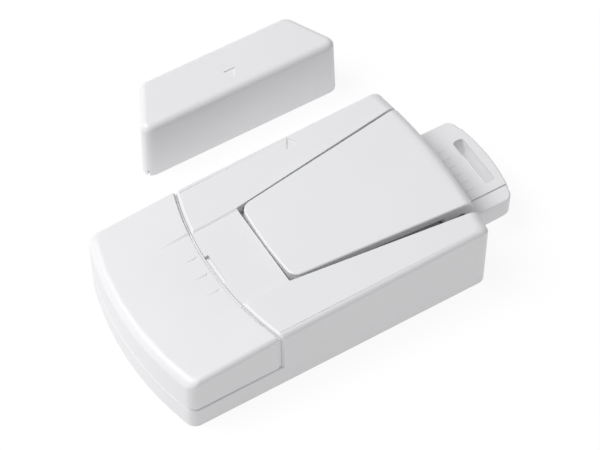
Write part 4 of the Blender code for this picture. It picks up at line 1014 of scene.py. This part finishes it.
def build_clip():
    """The clip plate, rolled over at its hinge end, with a lip and a slotted barrel."""
    size = sizes()
    start = POCKET_X + GAP
    bm = plate((-1 * MM, 1 * MM), (-1, 1))
    round_side = [vert for vert in bm.verts if vert.co.x < 0]
    for vert in bm.verts:
        vert.co.x = start if vert.co.x < 0 else END_X
        flare = CLIP_REAR_FLARE if vert.co.y > 0 else CLIP_FLARE
        vert.co.y *= CLIP_HALF + flare * (vert.co.x - start)
    roll_corners(bm, round_side, CLIP_CORNER, 8)
    split_edges(bm, lambda a, b: abs(a.x - b.x) < MM / 10, 24)

    def placed(x, y, z):
        if x > END_X - MM:
            return (tab_end_x(y, CLIP_END_IN), y, z)
        inner = CLIP_HALF - CLIP_CORNER
        bow = CLIP_BOW * (1 - min(abs(y) / inner, 1) ** 2)
        return (x + CLIP_BOW - bow, y, z)

    shift(bm, placed)
    base = PIVOT.z - BARREL_R
    lift(bm, base, clip_z)
    rim = [edge for edge in bm.edges
           if all(vert.co.z > base + MM and vert.co.x > 44 * MM for vert in edge.verts)
           and abs(edge.verts[0].co.y - edge.verts[1].co.y) > 0.2 * MM]
    roll_edges(bm, rim, CLIP_ROLL, 10)
    clip = as_object("clip_shell", close(bm))
    lip_x = start + CLIP_LIP
    barrel_x = PIVOT.x - BARREL_R
    under = side_form([(lip_x, 0), (barrel_x, 0), (barrel_x, clip_z(barrel_x) - CLIP_THICK),
                       (lip_x, clip_z(lip_x) - CLIP_THICK)], (-FAR, FAR))
    around = cutter(box_form((barrel_x - MM, FAR), (-FAR, FAR), (0, PIVOT.z)), PLAIN)
    cut(around, cutter(rod_form(PIVOT, BARREL_R, 4 * HALF_WIDE, segments=64), PLAIN))
    cut(clip, cutter(under, PLAIN),
        cutter(box_form((-FAR, lip_x + MM), (-FAR, FAR), (0, POCKET_Z + GAP)), PLAIN), around)
    slot = box_form((PIVOT.x - SPRING_SLOT_X, PIVOT.x + SPRING_REACH + FIT),
                    (-SPRING_SLOT_HALF, SPRING_SLOT_HALF), (0, PIVOT.z + SPRING_REACH))
    cut(clip, cutter(rod_form(PIVOT, PIN_R + FIT, 4 * HALF_WIDE, segments=20), PLAIN),
        cutter(slot, PLAIN))
    roll_rim(clip, on_clip_rim, size.soft_edge)
    return complete(clip, "clip_shell", "clip", ["belt_clip"])


def on_clip_rim(edge):
    """True for the top rim along the clip's sides and free end."""
    if len(edge.link_faces) != 2 or edge.calc_face_angle(0) < radians(40):
        return False
    return all(vert.co.z > clip_z(vert.co.x) - 3.5 * MM for vert in edge.verts) and any(
        face.normal.z > 0.3 for face in edge.link_faces)


def build_tab():
    """The flat tab with a raised middle band, grip ribs, a strap slot and its tongue."""
    size = sizes()
    bm = plate(TAB_X, (-TAB_HALF, TAB_HALF))
    outer = [vert for vert in bm.verts if vert.co.x > TAB_X[0] + MM]
    roll_corners(bm, outer, TAB_CORNER, 8)
    split_edges(bm, lambda a, b: min(a.x, b.x) > TAB_X[1] - 0.1 * MM, 20)

    def bowed(x, y, z):
        share = (x - TAB_X[0]) / (TAB_X[1] - TAB_X[0])
        return (x - share * TAB_BOW * (y / TAB_HALF) ** 2 if share > 0.5 else x, y, z)

    shift(bm, bowed)
    middle = (TAB_Z[0] + TAB_Z[1]) / 2
    lift(bm, TAB_Z[0], TAB_Z[1])
    tab = as_object("tab_shell", bm)
    tools = []
    for side in (-1, 1):
        y = sorted((side * FAR, side * (TAB_HALF - SHOULDER)))
        step = box_form((TAB_X[0] + 2 * MM, FAR), y, (TAB_Z[1] - SHOULDER_STEP, FAR))
        tools.append(cutter(step, SKIN))
    slot = plate((SLOT_X - SLOT_HALVES[0], SLOT_X + SLOT_HALVES[0]),
                 (-SLOT_HALVES[1], SLOT_HALVES[1]))
    round_corners(slot, 1.1 * MM, 6)
    tools.append(cutter(lift(slot, 0, FAR), SOFT))
    cut(tab, *tools)
    tongue = cutter(box_form((TAB_X[0] - KEY_LONG, TAB_X[0] + MM), (-KEY_HALF, KEY_HALF), KEY_Z),
                    PLAIN)
    ribs = []
    for index in range(6):
        y = (index - 2.5) * 2.9 * MM
        rib = plate(RIB_X, (y - RIB_HALF, y + RIB_HALF))
        round_corners(rib, 0.3 * MM, 4)
        ribs.append(cutter(lift(rib, middle, TAB_Z[1] + RIB_PROUD), PLAIN))
    weld(tab, tongue, *ribs)
    roll_rim(tab, on_tab_rim, size.soft_edge)
    return complete(tab, "tab_shell", "tab", ["pull_tab"])


def on_tab_rim(edge):
    """True for a sharp edge clear of the tab's inner end, all of it on the rim."""
    if len(edge.link_faces) != 2 or edge.calc_face_angle(0) <= radians(50):
        return False
    return all(vert.co.x > TAB_X[0] + MM and tab_rim_level(vert.co) for vert in edge.verts)


def tab_rim_level(place):
    """True at the outer rim of the tab's two faces and of its slot."""
    outline = abs(place.y) > TAB_HALF - 2.3 * MM or place.x > SLOT_X + 2 * MM
    step = abs(abs(place.y) - (TAB_HALF - SHOULDER)) < 0.01 * MM
    return outline and not step


def build_magnet():
    """The tapered shell of the magnet unit, drawn in at its rim and hollow beneath."""
    size = sizes()
    centre_y = (MAGNET_Y[0] + MAGNET_Y[1]) / 2
    bm = plate((-1, 1), MAGNET_Y)
    for vert in bm.verts:
        half = MAGNET_HALVES[0] if vert.co.y < centre_y else MAGNET_HALVES[1]
        vert.co.x = MAGNET_X + half * vert.co.x
    for front, along in ((True, 4.7 * MM), (False, 2.0 * MM)):
        corners = [vert for vert in bm.verts if turns(vert)
                   and (vert.co.y < centre_y) == front]
        roll_corners(bm, corners, along, 10)
    lift(bm, 0, MAGNET_HIGH)
    top = [vert for vert in bm.verts if vert.co.z > MM]
    long = 1 - MAGNET_DRAFT / MAGNET_HALVES[0]
    deep = 1 - 2 * MAGNET_DRAFT / (MAGNET_Y[1] - MAGNET_Y[0])
    move = Matrix.Translation((-MAGNET_X, -centre_y, 0))
    bmesh.ops.scale(bm, vec=(long, deep, 1), space=move, verts=top)
    rim = [edge for edge in bm.edges if all(vert.co.z > MM for vert in edge.verts)]
    roll_edges(bm, rim, size.magnet_round, 8)
    shell = as_object("magnet_shell", close(bm))
    hollow = plate((-1, 1), (MAGNET_Y[0] + MAGNET_SIDE_WALL, MAGNET_Y[1] - MAGNET_SIDE_WALL))
    for vert in hollow.verts:
        half = MAGNET_HALVES[0] if vert.co.y < centre_y else MAGNET_HALVES[1]
        vert.co.x = MAGNET_X + (half - MAGNET_END_WALL) * vert.co.x
    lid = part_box("magnet_lid")
    recess = plate((-1, 1), (lid[0].y - FIT, lid[1].y + FIT))
    for vert in recess.verts:
        half = (lid[1].x - lid[0].x) / 2 + FIT
        if vert.co.y > centre_y:
            half -= MAGNET_HALVES[0] - MAGNET_HALVES[1]
        vert.co.x = MAGNET_X + half * vert.co.x
    cut(shell, cutter(lift(hollow, -MM, MAGNET_HIGH - MAGNET_TOP_WALL), PLAIN),
        cutter(lift(recess, -MM, LID_DEEP), CRISP))
    mark = triangle_form(MAGNET_X + MAGNET_MARK[0], MAGNET_Y[0] + MAGNET_MARK[1],
                         MAGNET_HIGH - size.mark_deep)
    bmesh.ops.rotate(mark, cent=(MAGNET_X, MAGNET_Y[0] + MAGNET_MARK_TURN, 0),
                     matrix=Matrix.Rotation(pi, 3, "Z"), verts=mark.verts)
    cut(shell, cutter(close(mark), PLAIN))
    break_rims(shell, ((CRISP, size.crisp_edge, 3),))
    return complete(shell, "magnet_shell", "magnet_unit", ["magnet_housing"])


def build_screw(name):
    """A pan-head screw with a crossed driving recess, in place of a plain one."""
    low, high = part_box(name)
    centre = (low + high) / 2
    head_r = (high.x - low.x) / 2
    shank_r = 1.2 * MM if head_r > 2 * MM else 1.0 * MM
    head = 0.9 * MM if head_r > 2 * MM else 0.7 * MM
    screw = as_object(name + "_turned", rod_form((centre.x, centre.y, low.z + head / 2), head_r,
                                                 head, "Z", 40), SKIN)
    shank = rod_form((centre.x, centre.y, (low.z + head / 2 + high.z) / 2), shank_r,
                     high.z - low.z - head / 2, "Z", 24)
    weld(screw, cutter(shank, PLAIN))
    arm = head_r * 0.62
    slots = []
    for turn in (0, pi / 2):
        bar = box_form((-arm, arm), (-0.19 * MM, 0.19 * MM), (-MM, head * 0.62))
        place = Matrix.Translation((centre.x, centre.y, low.z)) @ Matrix.Rotation(turn, 4, "Z")
        bmesh.ops.transform(bar, matrix=place, verts=bar.verts)
        slots.append(cutter(bar, PLAIN))
    cut(screw, *slots)

    def on_head_rim(edge):
        if len(edge.link_faces) != 2 or edge.calc_face_angle(0) <= radians(60):
            return False
        return all(abs((vert.co.xy - centre.xy).length - head_r) < 0.02 * MM
                   and vert.co.z < low.z + head / 2 for vert in edge.verts)

    roll_rim(screw, on_head_rim, 0.3 * MM, flatten=False)
    return complete(screw, name + "_turned", "sensor", [name], "spring_steel")


def build_cell(name, side):
    """A jacketed cell with a rolled shoulder, a nub and a vent ring."""
    low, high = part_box(name)
    centre = (low + high) / 2
    radius = (high.z - low.z) / 2
    length = high.y - low.y
    form = rod_form((0, 0, 0), radius, length, "Z", 56)
    ends = [face for face in form.faces if abs(face.normal.z) > 0.9]
    roll_edges(form, [edge for face in ends for edge in face.edges], 0.45 * MM)
    top = max((face for face in form.faces if abs(face.normal.z) > 0.99),
              key=lambda face: face.calc_center_median().z)
    steps = ((0.9 * MM, 0.0), (0.12 * MM, -0.3 * MM), (1.6 * MM, 0.0), (0.25 * MM, 1.0 * MM))
    bmesh.ops.translate(form, vec=(0, 0, -1.0 * MM), verts=list(top.verts))
    for inset, rise in steps:
        bmesh.ops.inset_region(form, faces=[top], thickness=inset, use_even_offset=True)
        bmesh.ops.translate(form, vec=(0, 0, rise), verts=list(top.verts))
    turn = Matrix.Rotation(-side * pi / 2, 4, "X")
    bmesh.ops.transform(form, matrix=Matrix.Translation(centre) @ turn, verts=form.verts)
    item = as_object(name + "_jacketed", close(form))
    return complete(item, name + "_jacketed", "sensor", [name], "cell_jacket")


CARRIED = {
    "white_abs": ["back_plate", "magnet_lid"],
    "foam_tape": ["sensor_pad_1", "sensor_pad_2", "magnet_pad"],
    "spring_steel": ["clip_pin", "clip_spring"],
    "nickel_plate": ["contact_bridge", "contact_negative", "contact_positive",
                     "contact_spring_1", "contact_spring_2", "switch_blade_upper",
                     "switch_blade_lower", "crystal"],
    "component_black": ["switch_base", "sounder_cup", "control_chip", "capacitor", "transistor"],
    "sounder_brass": ["sounder_disc"],
    "sounder_ceramic": ["sounder_ceramic"],
    "board_green": ["circuit_board"],
    "reed_glass": ["reed_switch"],
    "copper_winding": ["boost_coil"],
    "resistor_tan": ["resistor_1", "resistor_2", "resistor_3"],
    "wire_red": ["wire_positive", "wire_sounder_1"],
    "wire_black": ["wire_negative", "wire_sounder_2"],
    "bar_magnet": ["magnet_bar"],
}


def paint(*slots):
    """Gives carried-over pieces their finish."""
    for slot in slots:
        for name in CARRIED[slot]:
            materials = NODES[name].data.materials
            if len(materials):
                for index in range(len(materials)):
                    materials[index] = finish(slot)
            else:
                materials.append(finish(slot))


# ---------------------------------------------------------------- stage

VIEW_TURN = radians(31.18)
VIEW_RISE = radians(54.0)
VIEW_FAR = 0.646
VIEW_TARGET = Vector((0.0096, 0.0086, 0.0079))


def aim(item, place, target):
    item.location = place
    item.rotation_euler = (Vector(place) - Vector(target)).to_track_quat("Z", "Y").to_euler()


def add_light(name, place, target, power, width, height):
    light = bpy.data.lights.new(name, "AREA")
    light.shape = "RECTANGLE"
    light.size = width
    light.size_y = height
    light.energy = power
    item = bpy.data.objects.new(name, light)
    bpy.context.scene.collection.objects.link(item)
    aim(item, place, target)
    return item


def build_stage():
    scene = bpy.context.scene
    bm = bmesh.new()
    bmesh.ops.create_grid(bm, x_segments=1, y_segments=1, size=4.0)
    bmesh.ops.translate(bm, vec=(0, 0, -0.0002), verts=bm.verts)
    mesh = bpy.data.meshes.new("floor")
    bm.to_mesh(mesh)
    bm.free()
    mesh.materials.append(finish("floor_white"))
    floor = bpy.data.objects.new("floor", mesh)
    scene.collection.objects.link(floor)
    world = bpy.data.worlds.new("studio")
    world.use_nodes = True
    background = world.node_tree.nodes["Background"]
    background.inputs["Color"].default_value = (1, 1, 1, 1)
    background.inputs["Strength"].default_value = 0.28
    scene.world = world
    scene.view_settings.view_transform = "Standard"
    add_light("key_light", (-0.65, 0.35, 1.2), (0, 0, 0), 18.5, 0.9, 0.9)
    back = Vector((-sin(VIEW_TURN) * cos(VIEW_RISE), -cos(VIEW_TURN) * cos(VIEW_RISE),
                   sin(VIEW_RISE)))
    camera = bpy.data.objects.new("camera", bpy.data.cameras.new("camera"))
    camera.data.lens = 147.0
    camera.data.sensor_width = 36.0
    camera.data.clip_start = 0.01
    scene.collection.objects.link(camera)
    aim(camera, VIEW_TARGET + back * VIEW_FAR, VIEW_TARGET)
    scene.camera = camera


# ---------------------------------------------------------------- operators


def build_screws():
    for index in (1, 2, 3, 4):
        build_screw(f"plate_screw_{index}")
    for index in (1, 2):
        build_screw(f"board_screw_{index}")


def build_cells():
    build_cell("battery_cell_1", 1)
    build_cell("battery_cell_2", -1)


class SENSOR_OT_housing(bpy.types.Operator):
    """Build the deep main shell"""

    bl_idname = "sensor.housing"
    bl_label = "Housing"
    bl_options = {"REGISTER", "UNDO"}

    def execute(self, context):
        build_housing()
        return {"FINISHED"}


class SENSOR_OT_cover(bpy.types.Operator):
    """Build the sliding battery cover"""

    bl_idname = "sensor.cover"
    bl_label = "Battery Cover"
    bl_options = {"REGISTER", "UNDO"}

    def execute(self, context):
        build_cover()
        return {"FINISHED"}


class SENSOR_OT_clip(bpy.types.Operator):
    """Build the sprung belt clip"""

    bl_idname = "sensor.clip"
    bl_label = "Belt Clip"
    bl_options = {"REGISTER", "UNDO"}

    def execute(self, context):
        build_clip()
        return {"FINISHED"}


class SENSOR_OT_tab(bpy.types.Operator):
    """Build the pull tab with its strap slot"""

    bl_idname = "sensor.tab"
    bl_label = "Pull Tab"
    bl_options = {"REGISTER", "UNDO"}

    def execute(self, context):
        build_tab()
        return {"FINISHED"}


class SENSOR_OT_magnet(bpy.types.Operator):
    """Build the shell of the magnet unit"""

    bl_idname = "sensor.magnet"
    bl_label = "Magnet Unit"
    bl_options = {"REGISTER", "UNDO"}

    def execute(self, context):
        build_magnet()
        return {"FINISHED"}


class SENSOR_OT_screws(bpy.types.Operator):
    """Build the screws of the back plate and the board"""

    bl_idname = "sensor.screws"
    bl_label = "Screws"
    bl_options = {"REGISTER", "UNDO"}

    def execute(self, context):
        build_screws()
        return {"FINISHED"}


class SENSOR_OT_cells(bpy.types.Operator):
    """Build the two jacketed cells"""

    bl_idname = "sensor.cells"
    bl_label = "Cells"
    bl_options = {"REGISTER", "UNDO"}

    def execute(self, context):
        build_cells()
        return {"FINISHED"}


class SENSOR_OT_plates(bpy.types.Operator):
    """Finish the back plate, the magnet's lid and the foam pads"""

    bl_idname = "sensor.plates"
    bl_label = "Plates and Pads"
    bl_options = {"REGISTER", "UNDO"}

    def execute(self, context):
        paint("white_abs", "foam_tape")
        return {"FINISHED"}


class SENSOR_OT_metal(bpy.types.Operator):
    """Finish the pin, the springs, the contacts and the blades"""

    bl_idname = "sensor.metal"
    bl_label = "Metal Parts"
    bl_options = {"REGISTER", "UNDO"}

    def execute(self, context):
        paint("spring_steel", "nickel_plate")
        return {"FINISHED"}


class SENSOR_OT_sounder(bpy.types.Operator):
    """Finish the sounder's cup, disc and ceramic"""

    bl_idname = "sensor.sounder"
    bl_label = "Sounder"
    bl_options = {"REGISTER", "UNDO"}

    def execute(self, context):
        paint("component_black", "sounder_brass", "sounder_ceramic")
        return {"FINISHED"}


class SENSOR_OT_board(bpy.types.Operator):
    """Finish the board and the parts on it"""

    bl_idname = "sensor.board"
    bl_label = "Board"
    bl_options = {"REGISTER", "UNDO"}

    def execute(self, context):
        paint("board_green", "reed_glass", "copper_winding", "resistor_tan")
        return {"FINISHED"}


class SENSOR_OT_wires(bpy.types.Operator):
    """Finish the wires and the bar magnet"""

    bl_idname = "sensor.wires"
    bl_label = "Wires and Magnet"
    bl_options = {"REGISTER", "UNDO"}

    def execute(self, context):
        paint("wire_red", "wire_black", "bar_magnet")
        return {"FINISHED"}


class SENSOR_OT_stage(bpy.types.Operator):
    """Lay the floor and set the lights and the camera"""

    bl_idname = "sensor.stage"
    bl_label = "Stage"
    bl_options = {"REGISTER", "UNDO"}

    def execute(self, context):
        build_stage()
        return {"FINISHED"}


OPERATORS = (
    SENSOR_OT_housing, SENSOR_OT_cover, SENSOR_OT_clip, SENSOR_OT_tab, SENSOR_OT_magnet,
    SENSOR_OT_screws, SENSOR_OT_cells, SENSOR_OT_plates, SENSOR_OT_metal, SENSOR_OT_sounder,
    SENSOR_OT_board, SENSOR_OT_wires, SENSOR_OT_stage,
)


class SENSOR_PT_panel(bpy.types.Panel):
    """Lists the sizes, the colours and one button for each piece"""

    bl_label = "Door Contact"
    bl_idname = "SENSOR_PT_panel"
    bl_space_type = "VIEW_3D"
    bl_region_type = "UI"
    bl_category = "Door Contact"

    def draw(self, context):
        column = self.layout.column()
        for group in (context.scene.sensor_sizes, context.scene.sensor_colours):
            for key in type(group).__annotations__:
                column.prop(group, key)
        for item in OPERATORS:
            column.operator(item.bl_idname)


CLASSES = (SensorSizes, SensorColours, *OPERATORS, SENSOR_PT_panel)


def register():
    for item in CLASSES:
        bpy.utils.register_class(item)
    bpy.types.Scene.sensor_sizes = bpy.props.PointerProperty(type=SensorSizes)
    bpy.types.Scene.sensor_colours = bpy.props.PointerProperty(type=SensorColours)


def unregister():
    del bpy.types.Scene.sensor_colours
    del bpy.types.Scene.sensor_sizes
    for item in reversed(CLASSES):
        bpy.utils.unregister_class(item)


def main():
    register()
    for item in OPERATORS:
        getattr(bpy.ops.sensor, item.bl_idname.split(".")[1])()


if __name__ == "__main__":
    main()
